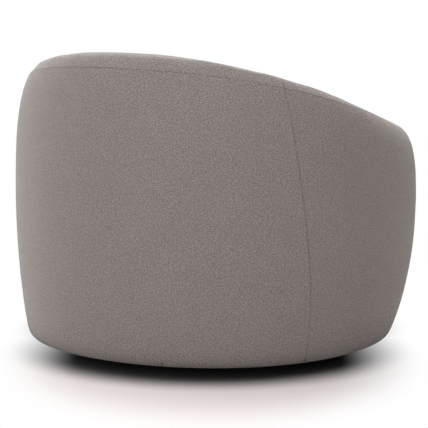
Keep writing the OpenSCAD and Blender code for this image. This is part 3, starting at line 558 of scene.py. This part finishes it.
def boucle_group():
    """Loops, threads and seams of a boucle, as a colour and a height, the seams darkened in
    the colour with painted shade.
    The threads run through the cloth: their noise is summed over its thickness."""
    group, start, end = new_group("boucle_pile", (
        ("Place", "Vector"), ("Facing", "Vector"),
        ("Ground", "Color", (0.2, 0.18, 0.17, 1)), ("Loop", "Color", (0.3, 0.27, 0.25, 1)),
        ("Loops per metre", "Float", 300.0, 10.0, 2000.0),
        ("Seam distance", "Float", SEAM_REACH, 0.0, 1.0),
    ), (("Colour", "Color"), ("Height", "Float")))
    place, count = start.outputs["Place"], start.outputs["Loops per metre"]
    apart = start.outputs["Seam distance"]
    warp = clouds(group, -1150, 300, place, maths(
        group, "MULTIPLY", -1300, 200, count, BENDS), detail=2.0, roughness=0.6)
    shift = vectors(group, "SCALE", -950, 300, warp["Color"], LOOP_BEND)
    bent = vectors(group, "ADD", -780, 300, place, shift)
    loops = feed(group, add(group, "ShaderNodeTexVoronoi", -600, 300,
                            feature="DISTANCE_TO_EDGE"), {
        "Vector": bent, "Scale": count, "Randomness": 1.0})
    crown = spread(group, -400, 300, loops.outputs["Distance"], 0.0, CROWN_EDGE)
    strand = clouds(group, -600, 0, bent, maths(
        group, "MULTIPLY", -760, 0, count, STRANDS),
        detail=3.0, roughness=0.75, distortion=0.6)["Fac"]
    thread = None
    for number, depth in enumerate(THREAD_DEPTHS):
        y = 700 - 160 * number
        inside = vectors(group, "MULTIPLY_ADD", -1150, y, start.outputs["Facing"],
                         (depth, depth, depth), place)
        layer = clouds(group, -950, y, inside, maths(
            group, "MULTIPLY", -1300, y, count, THREADS), detail=0.0)["Fac"]
        thread = layer if thread is None else maths(group, "ADD", -750, y, layer, thread)
    tuft = maths(group, "MULTIPLY_ADD", -200, 200, crown, PILE_SHARE,
                 maths(group, "MULTIPLY", -350, 60, strand, PILE_SHARE))
    tuft = maths(group, "ADD", 20, 260, thread, tuft)
    share = spread(group, 100, 200, tuft, *PILE_SPAN)
    mixed = blend_colour(group, 280, 200, share, start.outputs["Ground"],
                         start.outputs["Loop"])
    cloudy = feed(group, add(group, "ShaderNodeMapRange", 100, -300), {
        "Value": clouds(group, -600, -500, place, CLOUDS, detail=3.0, roughness=0.55)["Fac"],
        "From Min": 0.3, "From Max": 0.7, "To Min": CLOUD_SHADES[0],
        "To Max": CLOUD_SHADES[1]})
    # Painted shade along the seams and the hem's tuck: a dark line in the colour, broken where
    # strands cover it
    line = spread(group, -200, -600, apart, *SEAM_LINE)
    painted_seam_mask = maths(group, "MULTIPLY", 0, -600, line,
                   spread(group, -200, -800, strand, *SEAM_BREAK))
    painted_seam_level = maths(group, "MULTIPLY_ADD", 100, -500, painted_seam_mask, -SEAM_PAINTED_SHADE, 1.0)
    level = maths(group, "MULTIPLY", 280, -300, cloudy.outputs["Result"], painted_seam_level)
    toned = vectors(group, "SCALE", 480, 100, mixed, level)
    group.links.new(toned, end.inputs["Colour"])
    pucker = clouds(group, -600, -750, place, PUCKERS, detail=1.0)["Fac"]
    gather = maths(group, "MULTIPLY", -100, -950,
                   spread(group, -300, -950, apart, *GATHER), pucker)
    high = maths(group, "MULTIPLY_ADD", 120, 450, strand, STRAND_BUMP, crown)
    high = maths(group, "MULTIPLY_ADD", 300, 450, gather, GATHER_BUMP, high)
    group.links.new(high, end.inputs["Height"])
    return group


# Broad and fine shares of the grain, and the values between which its mask goes from 0 to 1
GRAIN_SHARES = 0.75, 0.35
GRAIN_SPAN = 0.3, 0.75
# The same of specks, and how much sparser the broad ones are
SPECK_SHARES = 0.4, 0.7
SPECK_SPAN = 0.35, 0.75
SPARSER = 0.08


def grain_group():
    """Long grain, as in wood or brushed metal: a mask and a height."""
    group, start, end = new_group("long_grain", (
        ("Place", "Vector"), ("Stretch", "Vector", (6.0, 90.0, 90.0))), MASK_AND_HEIGHT)
    long = vectors(group, "MULTIPLY", -1000, 100, start.outputs["Place"],
                   start.outputs["Stretch"])
    broad = clouds(group, -800, 150, long, scale=1.0, detail=5.0, roughness=0.6,
                   distortion=0.8)["Fac"]
    fine = clouds(group, -800, -150, long, scale=7.0, detail=4.0, roughness=0.7)["Fac"]
    both = maths(group, "MULTIPLY_ADD", -500, 0, fine, GRAIN_SHARES[1],
                 maths(group, "MULTIPLY", -650, 100, broad, GRAIN_SHARES[0]))
    group.links.new(spread(group, -300, 0, both, *GRAIN_SPAN), end.inputs["Mask"])
    group.links.new(both, end.inputs["Height"])
    return group


def speckle_group():
    """Pores, pressed fibres or a powder coat's orange peel: a mask and a height."""
    group, start, end = new_group("speckle", (
        ("Place", "Vector"), ("Specks per metre", "Float", 600.0, 1.0, 5000.0)),
        MASK_AND_HEIGHT)
    place, count = start.outputs["Place"], start.outputs["Specks per metre"]
    fine = clouds(group, -800, 150, place, count, detail=4.0, roughness=0.65)["Fac"]
    broad = clouds(group, -800, -150, place, maths(
        group, "MULTIPLY", -950, -150, count, SPARSER), detail=3.0, roughness=0.6)["Fac"]
    both = maths(group, "MULTIPLY_ADD", -500, 0, broad, SPECK_SHARES[0],
                 maths(group, "MULTIPLY", -650, 100, fine, SPECK_SHARES[1]))
    group.links.new(spread(group, -300, 0, both, *SPECK_SPAN), end.inputs["Mask"])
    group.links.new(fine, end.inputs["Height"])
    return group


def weave_group():
    """Plain weave of a lining cloth or strap: a mask and a height."""
    group, start, end = new_group("plain_weave", (
        ("Place", "Vector"), ("Threads per metre", "Float", 900.0, 10.0, 5000.0)),
        MASK_AND_HEIGHT)
    scaled = vectors(group, "SCALE", -1000, 0, start.outputs["Place"],
                     start.outputs["Threads per metre"])
    parts = feed(group, add(group, "ShaderNodeSeparateXYZ", -850, 0), {0: scaled})
    across = maths(group, "SINE", -650, 100, parts.outputs["X"])
    along = maths(group, "SINE", -650, -100, maths(
        group, "ADD", -750, -100, parts.outputs["Y"], parts.outputs["Z"]))
    woven = maths(group, "MULTIPLY", -480, 0, across, along)
    group.links.new(spread(group, -300, 0, woven, -1.0, 1.0), end.inputs["Mask"])
    group.links.new(woven, end.inputs["Height"])
    return group


# Node groups and finishes made so far, by name
GROUPS = {}
MADE = {}


def shared_group(name):
    makers = {"boucle": boucle_group, "grain": grain_group,
              "speckle": speckle_group, "weave": weave_group}
    if name not in GROUPS:
        GROUPS[name] = makers[name]()
    return GROUPS[name]


def new_material(name):
    material = bpy.data.materials.new(name)
    material.use_nodes = True
    tree = material.node_tree
    tree.nodes.clear()
    out = add(tree, "ShaderNodeOutputMaterial", 700, 0)
    shader = add(tree, "ShaderNodeBsdfPrincipled", 400, 0)
    tree.links.new(shader.outputs[0], out.inputs[0])
    place = add(tree, "ShaderNodeTexCoord", -900, 0).outputs["Object"]
    return material, tree, shader, place


def set_shader(shader, **values):
    """Sets inputs of the shader, their names written small and with underscores."""
    for key, value in values.items():
        label = key.replace("_", " ").title().replace("Ior", "IOR")
        shader.inputs[label].default_value = value


def bump(tree, shader, height, depth, strength):
    node = feed(tree, add(tree, "ShaderNodeBump", 150, -250), {
        "Height": height, "Distance": depth, "Strength": strength})
    tree.links.new(node.outputs["Normal"], shader.inputs["Normal"])


def boucle():
    look = settings().chair_cloth
    material, tree, shader, place = new_material("warm_grey_boucle")
    facing = add(tree, "ShaderNodeTexCoord", -900, 250).outputs["Normal"]
    seam = add(tree, "ShaderNodeAttribute", -900, -250, attribute_name="seam_distance")
    tuck = beside(tree, -1600, -500, place, *HEM_TUCK)
    near = maths(tree, "MINIMUM", -600, -300, seam.outputs["Fac"], tuck)
    pile = add(tree, "ShaderNodeGroup", -350, 0, node_tree=shared_group("boucle"))
    feed(tree, pile, {
        "Place": place, "Facing": facing, "Ground": (*look.ground, 1),
        "Loop": (*look.loop, 1), "Loops per metre": 1 / look.loop_size,
        "Seam distance": near})
    # Painted shade: the cloth's colour is darkened towards the hem, most at its lowest level
    # and fading upwards
    z = feed(tree, add(tree, "ShaderNodeSeparateXYZ", -700, 500), {0: place}).outputs["Z"]
    fade = maths(tree, "EXPONENT", -300, 400, maths(
        tree, "MULTIPLY_ADD", -500, 400, z, -1 / look.hem_fade, HEM_LOW / look.hem_fade))
    level = maths(tree, "MULTIPLY_ADD", -100, 400, fade, -look.painted_hem_shade, 1.0)
    # Painted shade of the tuck's fold: a dark line on the cloth where the mesh has no fold
    folded = maths(tree, "MULTIPLY_ADD", -100, 600, spread(
        tree, -500, 600, tuck, *TUCK_LINE), -TUCK_PAINTED_SHADE, 1.0)
    level = maths(tree, "MULTIPLY", 0, 500, level, folded)
    toned = vectors(tree, "SCALE", 100, 200, pile.outputs["Colour"], level)
    tree.links.new(toned, shader.inputs["Base Color"])
    bump(tree, shader, pile.outputs["Height"], look.nap_height, strength=0.6)
    set_shader(shader, roughness=0.95, specular_ior_level=0.15, sheen_weight=0.3,
               sheen_roughness=0.55, sheen_tint=(0.86, 0.82, 0.78, 1))
    return material


def two_tone(name, group, count, first, second, depth, rough, sheen=0.0, metal=0.0):
    """A finish of two close colours and two roughnesses, mixed by a shared group's mask."""
    material, tree, shader, place = new_material(name)
    pattern = add(tree, "ShaderNodeGroup", -350, 0, node_tree=shared_group(group))
    feed(tree, pattern, {0: place, 1: count})
    colour = blend_colour(tree, 0, 100, pattern.outputs["Mask"], (*first, 1), (*second, 1))
    tree.links.new(colour, shader.inputs["Base Color"])
    varied = feed(tree, add(tree, "ShaderNodeMapRange", 0, -100), {
        "Value": pattern.outputs["Mask"], "To Min": rough[0], "To Max": rough[1]})
    tree.links.new(varied.outputs["Result"], shader.inputs["Roughness"])
    bump(tree, shader, pattern.outputs["Height"], depth, strength=0.5)
    set_shader(shader, sheen_weight=sheen, metallic=metal)
    return material


def shade(colour, level):
    """A colour made darker or lighter."""
    return tuple(min(1.0, c * level) for c in colour)


def two_tone_rows():
    """Each finish's material, shared group, count or stretch of its pattern, two colours,
    depth of the bump, two roughnesses, and sheen and metal where it has them."""
    look = settings().chair_frame
    return {
        "ply": ("birch_plywood", "grain", (5.0, 70.0, 130.0), look.ply_dark,
                look.ply_light, 0.0006, (0.54, 0.72)),
        "hardboard": ("bent_hardboard", "speckle", 420.0, shade(look.hardboard, 0.75),
                      shade(look.hardboard, 1.25), 0.0003, (0.64, 0.85)),
        "foam": ("cut_foam", "speckle", 900.0, shade(look.foam, 0.82), look.foam, 0.0006,
                 (0.84, 1.0), 0.15),
        "felt": ("needled_felt", "speckle", 650.0, shade(look.hardboard, 0.8),
                 shade(look.hardboard, 1.7), 0.0008, (0.89, 1.0), 0.3),
        "lining": ("lining_cloth", "weave", 3500.0, shade(look.black_cloth, 0.6),
                   shade(look.black_cloth, 2.2), 0.0002, (0.74, 0.95)),
        "strap": ("elastic_strap", "weave", 1800.0, shade(look.black_cloth, 0.6),
                  shade(look.black_cloth, 2.6), 0.0004, (0.64, 0.9)),
        "zinc": ("zinc_plated_steel", "grain", (40.0, 400.0, 400.0), (0.50, 0.51, 0.53),
                 (0.63, 0.64, 0.66), 0.00006, (0.28, 0.5), 0.0, 1.0),
        "spring": ("oiled_spring_steel", "speckle", 240.0, (0.10, 0.10, 0.11),
                   (0.24, 0.24, 0.25), 0.00006, (0.32, 0.55), 0.0, 1.0),
        "bearing": ("bearing_steel", "speckle", 160.0, (0.60, 0.61, 0.63),
                    (0.70, 0.71, 0.73), 0.00001, (0.1, 0.24), 0.0, 1.0),
        "coat": ("black_powder_coat", "speckle", 1200.0, (0.008, 0.008, 0.009),
                 (0.016, 0.016, 0.017), 0.0001, (0.44, 0.62)),
        "plastic": ("black_polyamide", "speckle", 700.0, (0.010, 0.010, 0.010),
                    (0.020, 0.020, 0.020), 0.00008, (0.44, 0.66)),
    }


def finish_of(name):
    """A finish, made when it is first asked for."""
    if name not in MADE:
        MADE[name] = boucle() if name == "boucle" else two_tone(*two_tone_rows()[name])
    return MADE[name]


# Upholstery

def tight_panel(node, name, seed):
    """An outside panel: cloth pulled tight over wadding."""
    sizes = settings().chair_upholstery
    obj = solid_copy(node, name)
    edges = sharp_line(obj)
    seams = sharp_line(obj, "across")
    round_edges(obj, sizes.seam_radius)
    subdivide(obj, PANEL_LEVELS)
    ripple(obj, edges, seed)
    mark_seams(obj, seams)
    roll_hem(obj)
    dress(obj, node, finish_of("boucle"))


def filled_pad(node, name, most, seed, held_width=HELD_WIDTH, level=False,
               levels=PAD_LEVELS):
    """A foam pad under cloth, swollen between its edges or, where level, its level seams."""
    sizes = settings().chair_upholstery
    obj = solid_copy(node, name)
    edges = sharp_line(obj, "level" if level else None)
    seams = edges if level else sharp_line(obj, "across")
    round_edges(obj, sizes.seam_radius)
    subdivide(obj, levels[0])
    swell(obj, edges, neighbours_of(node), most, held_width)
    subdivide(obj, levels[1])
    ripple(obj, edges, seed)
    mark_seams(obj, seams)
    return dress(obj, node, finish_of("boucle"))


class CHAIR_OT_outside_panels(bpy.types.Operator):
    """Make the outside panels of the back and arms"""
    bl_idname = "chair.outside_panels"
    bl_label = "Outside panels"

    def execute(self, context):
        for node, seed in (("outside_back", 1.3), ("outside_arm_right", 2.7),
                           ("outside_arm_left", 4.1)):
            tight_panel(node, node + "_cloth", seed)
        return {"FINISHED"}


class CHAIR_OT_inside_pads(bpy.types.Operator):
    """Make the inside pads of the back and arms, with the rim that rolls over them"""
    bl_idname = "chair.inside_pads"
    bl_label = "Inside pads"

    def execute(self, context):
        most = context.scene.chair_upholstery.pad_swell
        for node, seed in (("inside_back", 5.9), ("inside_arm_right", 7.3),
                           ("inside_arm_left", 8.8)):
            filled_pad(node, node + "_pad", most, seed)
        return {"FINISHED"}


class CHAIR_OT_arm_fronts(bpy.types.Operator):
    """Make the rounded fronts of the arms"""
    bl_idname = "chair.arm_fronts"
    bl_label = "Arm fronts"

    def execute(self, context):
        most = context.scene.chair_upholstery.pad_swell
        for node, seed in (("arm_front_right", 3.1), ("arm_front_left", 6.4)):
            roll_hem(filled_pad(node, node + "_pad", most, seed))
        return {"FINISHED"}


class CHAIR_OT_front_apron(bpy.types.Operator):
    """Make the apron under the front of the seat"""
    bl_idname = "chair.front_apron"
    bl_label = "Front apron"

    def execute(self, context):
        tight_panel("front_apron", "front_apron_cloth", seed=9.2)
        return {"FINISHED"}


class CHAIR_OT_seat_cushion(bpy.types.Operator):
    """Make the seat cushion: cover, foam core and underside cloth"""
    bl_idname = "chair.seat_cushion"
    bl_label = "Seat cushion"

    def execute(self, context):
        sizes = context.scene.chair_upholstery
        filled_pad("cushion_cover", "seat_cushion_cover", sizes.cushion_swell, seed=11.0,
                   held_width=CUSHION_HELD_WIDTH, level=True,
                   levels=CUSHION_LEVELS)
        core = solid_copy("cushion_core", "seat_cushion_foam")
        round_edges(core, sizes.foam_radius)
        subdivide(core, 1)
        write_points(core, [v.co - v.normal * CORE_INSET for v in core.data.vertices])
        dress(core, "cushion_core", finish_of("foam"))
        cloth = solid_copy("cushion_underside", "seat_cushion_underside")
        dress(cloth, "cushion_underside", finish_of("lining"))
        return {"FINISHED"}


class CHAIR_OT_seat_deck(bpy.types.Operator):
    """Make the felt and the foam of the seat deck"""
    bl_idname = "chair.seat_deck"
    bl_label = "Seat deck"

    def execute(self, context):
        felt = solid_copy("deck_felt", "seat_deck_felt")
        dress(felt, "deck_felt", finish_of("felt"))
        foam = solid_copy("deck_pad", "seat_deck_foam")
        round_edges(foam, context.scene.chair_upholstery.seam_radius)
        mark_seams(foam, sharp_line(foam))
        dress(foam, "deck_pad", finish_of("boucle"))
        return {"FINISHED"}


class CHAIR_OT_back_straps(bpy.types.Operator):
    """Make the elastic straps behind the back pad"""
    bl_idname = "chair.back_straps"
    bl_label = "Back straps"

    def execute(self, context):
        straps = solid_copy("back_webbing", "back_straps")
        round_edges(straps, STRAP_RADIUS, segments=1)
        dress(straps, "back_webbing", finish_of("strap"))
        return {"FINISHED"}


class CHAIR_OT_dust_cover(bpy.types.Operator):
    """Make the lining cloth under the plinth"""
    bl_idname = "chair.dust_cover"
    bl_label = "Dust cover"

    def execute(self, context):
        cloth = solid_copy("dust_cover", "dust_cover_cloth")
        dress(cloth, "dust_cover", finish_of("lining"))
        return {"FINISHED"}


# Finishes of the CAD nodes that are shown as they are
NODE_FINISHES = {
    "ply": ["plinth_ring", "floor_panel", "base_posts", "glue_blocks", "seat_frame",
            "back_ribs", "arm_ribs", "back_rail", "arm_rail_right", "arm_rail_left",
            "arm_stump_right", "arm_stump_left"],
    "hardboard": ["back_liner", "arm_liner_right", "arm_liner_left", "apron_board"],
    "zinc": ["glide_bolts", "glide_nuts", "lower_plate", "plate_bolts", "plate_nuts",
             "king_pin", "king_nut", "ball_cage", "upper_plate", "swivel_bolts",
             "tee_nuts", "spring_clips"],
    "bearing": ["lower_race", "upper_race", "bearing_balls"],
    "spring": ["seat_springs"],
    "coat": ["base_ring", "cross_bars"],
    "plastic": ["glides"],
}


class CHAIR_OT_frame_finishes(bpy.types.Operator):
    """Give the wooden frame, the swivel and the base their finishes"""
    bl_idname = "chair.frame_finishes"
    bl_label = "Frame finishes"

    def execute(self, context):
        for finish, names in NODE_FINISHES.items():
            for name in names:
                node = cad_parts[name]
                if not node.material_slots:
                    node.data.materials.append(None)
                for place in node.material_slots:
                    place.material = finish_of(finish)
        return {"FINISHED"}


# Studio

# Name, turn from the camera in degrees, distance along the floor, height, width and length
LAMPS = (
    ("left_rear", -130, 2.6, 1.15, 1.1, 2.0),
    ("left", -105, 2.6, 1.15, 1.1, 2.0),
    ("front", -16, 2.6, 1.15, 1.1, 2.0),
    ("right_rear", 130, 2.6, 1.15, 1.1, 2.0),
    ("top", 0, 0, 2.8, 2.4, 2.4),
    ("top_front", 0, 1.6, 2.4, 1.8, 1.8),
    ("top_back", 180, 1.8, 2.3, 2.0, 1.8),
)
# Point in the chair at which all the lamps are aimed
LAMP_AIM = Vector((0, 0, 0.3))
# Point on the floor from which the camera's distance is taken
CAMERA_FROM = Vector((0, -0.02, 0))
# Shift of the picture, as shares of its width, width of the sensor in millimetres, and
# nearest and furthest distance that the camera sees
CAMERA_SHIFT = -0.0095, -0.0016
CAMERA_SENSOR = 36
CAMERA_CLIP = 0.05, 60


def soft_light(name, place, width, height, power):
    bpy.ops.object.light_add(type="AREA", location=place)
    lamp = bpy.context.view_layer.objects.active
    lamp.name = name
    lamp.data.shape = "RECTANGLE"
    lamp.data.size, lamp.data.size_y = width, height
    lamp.data.energy = power
    lamp.rotation_mode = "QUATERNION"
    lamp.rotation_quaternion = (LAMP_AIM - place).to_track_quat("-Z", "Y")


FLOOR_WIDTH = 30
# Colours of the floor, in its painted deep shadow and clear of it, as the camera sees them and
# as the floor gives them back to the chair, the deep ones being painted shadow and painted
# shade
FLOOR_PAINTED_SHADOW = 0.113, 0.106, 0.105, 1
FLOOR_CLEAR = 0.93, 0.86, 0.85, 1
BOUNCE_PAINTED_SHADE = 0.05, 0.05, 0.05, 1
BOUNCE_CLEAR = 0.93, 0.895, 0.885, 1
WHITE = 1, 1, 1, 1
# How far the painted shadow and the fade to white lie to the left of the chair's axis, seen
# from the camera
SHADOW_LEFT = 0.009
# Shift and width of the oval of painted deep shadow, and the distances in it at which the
# painted shadow starts to end and has ended, steeply for a share of its depth and slowly for
# the rest
PAINTED_SHADOW_OVAL = -0.048, 0.95
PAINTED_SHADOW_STEEP = 0.437, 0.548
PAINTED_SHADOW_SLOW = 0.437, 0.983
STEEP_SHARE = 0.78
# The same distances for the painted shade in the light that the floor gives back to the chair
PAINTED_BOUNCE_EDGE = 0.41, 0.47
# The oval beyond which the floor fades to white
WHITE_OVAL = 0.21, 0.746
WHITE_EDGE = 0.372, 0.636


def oval(tree, x, y, folded, shift, width):
    """Distance in an oval of this width, whose length before and behind the chair grows
    with the shift."""
    moved = vectors(tree, "MULTIPLY_ADD", x, y, folded, (1 / width, 1, 0), (0, -shift, 0))
    return vectors(tree, "LENGTH", x + 180, y, moved)


def seen_rays(tree, x, y, rays):
    """1 for what the camera sees, straight or in a glossy surface, else 0."""
    return maths(tree, "MAXIMUM", x, y, rays.outputs["Is Camera Ray"],
                 rays.outputs["Is Glossy Ray"])


def floor_material():
    """A matt floor that keeps the chair's shadow, with a painted shadow deep under the hem,
    and fades to white.
    """
    material = bpy.data.materials.new("studio_floor")
    material.use_nodes = True
    tree = material.node_tree
    tree.nodes.clear()
    out = add(tree, "ShaderNodeOutputMaterial", 800, 0)
    rays = add(tree, "ShaderNodeLightPath", -700, 500)
    place = add(tree, "ShaderNodeTexCoord", -1700, -100).outputs["Object"]
    turn = settings().chair_studio.turn
    turned = feed(tree, add(tree, "ShaderNodeMapping", -1500, -100, vector_type="TEXTURE"), {
        "Vector": place, "Rotation": (0, 0, turn),
        "Location": (SHADOW_LEFT * math.cos(turn), SHADOW_LEFT * math.sin(turn), 0)})
    folded = vectors(tree, "ABSOLUTE", -1300, -100, turned.outputs[0])
    # Painted shadow: as the camera sees it, the floor's own colour is darkened in an oval
    # under the chair
    near = oval(tree, -1100, 100, folded, *PAINTED_SHADOW_OVAL)
    steep = spread(tree, -700, 150, near, *PAINTED_SHADOW_STEEP)
    slow = spread(tree, -700, -50, near, *PAINTED_SHADOW_SLOW)
    under = maths(tree, "MULTIPLY_ADD", -500, 100, steep, STEEP_SHARE,
                  maths(tree, "MULTIPLY", -600, 0, slow, 1 - STEEP_SHARE))
    shadow = blend_colour(tree, -300, 100, under, FLOOR_PAINTED_SHADOW, FLOOR_CLEAR)
    # Painted shade: the floor's colour for light given back to the chair is darkened near its
    # hem
    bounce = blend_colour(tree, -300, 300, spread(tree, -700, 330, near, *PAINTED_BOUNCE_EDGE),
                          BOUNCE_PAINTED_SHADE, BOUNCE_CLEAR)
    colour = blend_colour(tree, -100, 250, rays.outputs["Is Camera Ray"], bounce, shadow)
    matt = feed(tree, add(tree, "ShaderNodeBsdfDiffuse", 200, 100), {"Color": colour})
    glow = feed(tree, add(tree, "ShaderNodeEmission", 200, -100), {
        "Color": WHITE, "Strength": 1.0})
    far = spread(tree, -700, -300, oval(tree, -1100, -300, folded, *WHITE_OVAL), *WHITE_EDGE)
    seen = seen_rays(tree, -300, 450, rays)
    share = maths(tree, "MULTIPLY", -100, 0, seen, far)
    mixed = feed(tree, add(tree, "ShaderNodeMixShader", 500, 0), {
        0: share, 1: matt.outputs[0], 2: glow.outputs[0]})
    tree.links.new(mixed.outputs[0], out.inputs[0])
    return material


def studio_world():
    """Even light from all round, and a white wall where the camera looks."""
    world = bpy.context.scene.world or bpy.data.worlds.new("studio")
    bpy.context.scene.world = world
    world.use_nodes = True
    tree = world.node_tree
    tree.nodes.clear()
    out = add(tree, "ShaderNodeOutputWorld", 500, 0)
    air = feed(tree, add(tree, "ShaderNodeBackground", 0, 100), {
        "Color": WHITE, "Strength": settings().chair_studio.fill})
    wall = feed(tree, add(tree, "ShaderNodeBackground", 0, -100), {
        "Color": WHITE, "Strength": 1.0})
    rays = add(tree, "ShaderNodeLightPath", -400, 300)
    seen = seen_rays(tree, -200, 200, rays)
    mixed = feed(tree, add(tree, "ShaderNodeMixShader", 250, 0), {
        0: seen, 1: air.outputs[0], 2: wall.outputs[0]})
    tree.links.new(mixed.outputs[0], out.inputs[0])


class CHAIR_OT_stage(bpy.types.Operator):
    """Set up the floor, the soft lights and the camera"""
    bl_idname = "chair.stage"
    bl_label = "Studio"

    def execute(self, context):
        studio = context.scene.chair_studio
        bpy.ops.object.select_all(action="DESELECT")
        bpy.ops.mesh.primitive_plane_add(size=FLOOR_WIDTH)
        floor = context.view_layer.objects.active
        floor.name = "studio_floor"
        floor.data.materials.append(floor_material())
        turn = studio.turn
        back = Vector((-math.sin(turn), math.cos(turn), 0))
        side = Vector((-math.cos(turn), -math.sin(turn), 0))
        for name, degrees, away, high, width, tall in LAMPS:
            angle = math.radians(degrees)
            spot = away * (math.cos(angle) * back + math.sin(angle) * side)
            spot.z = high
            soft_light(name + "_light", spot, width, tall, getattr(studio, name))
        studio_world()
        place = CAMERA_FROM + back * studio.distance
        place.z = studio.height
        bpy.ops.object.camera_add(location=place)
        camera = context.view_layer.objects.active
        camera.name = "studio_camera"
        level = -back * math.cos(studio.tilt) + Vector((0, 0, -math.sin(studio.tilt)))
        camera.rotation_mode = "QUATERNION"
        camera.rotation_quaternion = level.to_track_quat("-Z", "Y")
        camera.data.sensor_width = CAMERA_SENSOR
        camera.data.lens = studio.lens
        camera.data.shift_x, camera.data.shift_y = CAMERA_SHIFT
        camera.data.clip_start, camera.data.clip_end = CAMERA_CLIP
        context.scene.camera = camera
        context.scene.view_settings.view_transform = "Standard"
        return {"FINISHED"}


class CHAIR_PT_panel(bpy.types.Panel):
    """Lists the steps that dress the chair"""
    bl_idname = "CHAIR_PT_panel"
    bl_label = "Tub chair"
    bl_space_type = "VIEW_3D"
    bl_region_type = "UI"
    bl_category = "Tub chair"

    def draw(self, context):
        for group in GROUPS_OF_VALUES:
            box = self.layout.box()
            values = getattr(context.scene, group)
            for key in values.bl_rna.properties.keys():
                if key not in ("rna_type", "name"):
                    box.prop(values, key)
        for step in STEPS:
            self.layout.operator(step.bl_idname)


STEPS = (
    CHAIR_OT_outside_panels, CHAIR_OT_inside_pads, CHAIR_OT_arm_fronts,
    CHAIR_OT_front_apron, CHAIR_OT_seat_cushion, CHAIR_OT_seat_deck,
    CHAIR_OT_back_straps, CHAIR_OT_dust_cover, CHAIR_OT_frame_finishes, CHAIR_OT_stage,
)
# Names under which the scene holds the groups of values
GROUPS_OF_VALUES = {
    "chair_upholstery": UpholsterySizes, "chair_cloth": ClothColours,
    "chair_frame": FrameColours, "chair_studio": StudioSizes,
}


def register():
    for kind in (*GROUPS_OF_VALUES.values(), *STEPS, CHAIR_PT_panel):
        bpy.utils.register_class(kind)
    for name, kind in GROUPS_OF_VALUES.items():
        setattr(bpy.types.Scene, name, bpy.props.PointerProperty(type=kind))


def unregister():
    for name in GROUPS_OF_VALUES:
        delattr(bpy.types.Scene, name)
    for kind in reversed((*GROUPS_OF_VALUES.values(), *STEPS, CHAIR_PT_panel)):
        bpy.utils.unregister_class(kind)


def main():
    register()
    bpy.ops.chair.outside_panels()
    bpy.ops.chair.inside_pads()
    bpy.ops.chair.arm_fronts()
    bpy.ops.chair.front_apron()
    bpy.ops.chair.seat_cushion()
    bpy.ops.chair.seat_deck()
    bpy.ops.chair.back_straps()
    bpy.ops.chair.dust_cover()
    bpy.ops.chair.frame_finishes()
    bpy.ops.chair.stage()


if __name__ == "__main__":
    main()
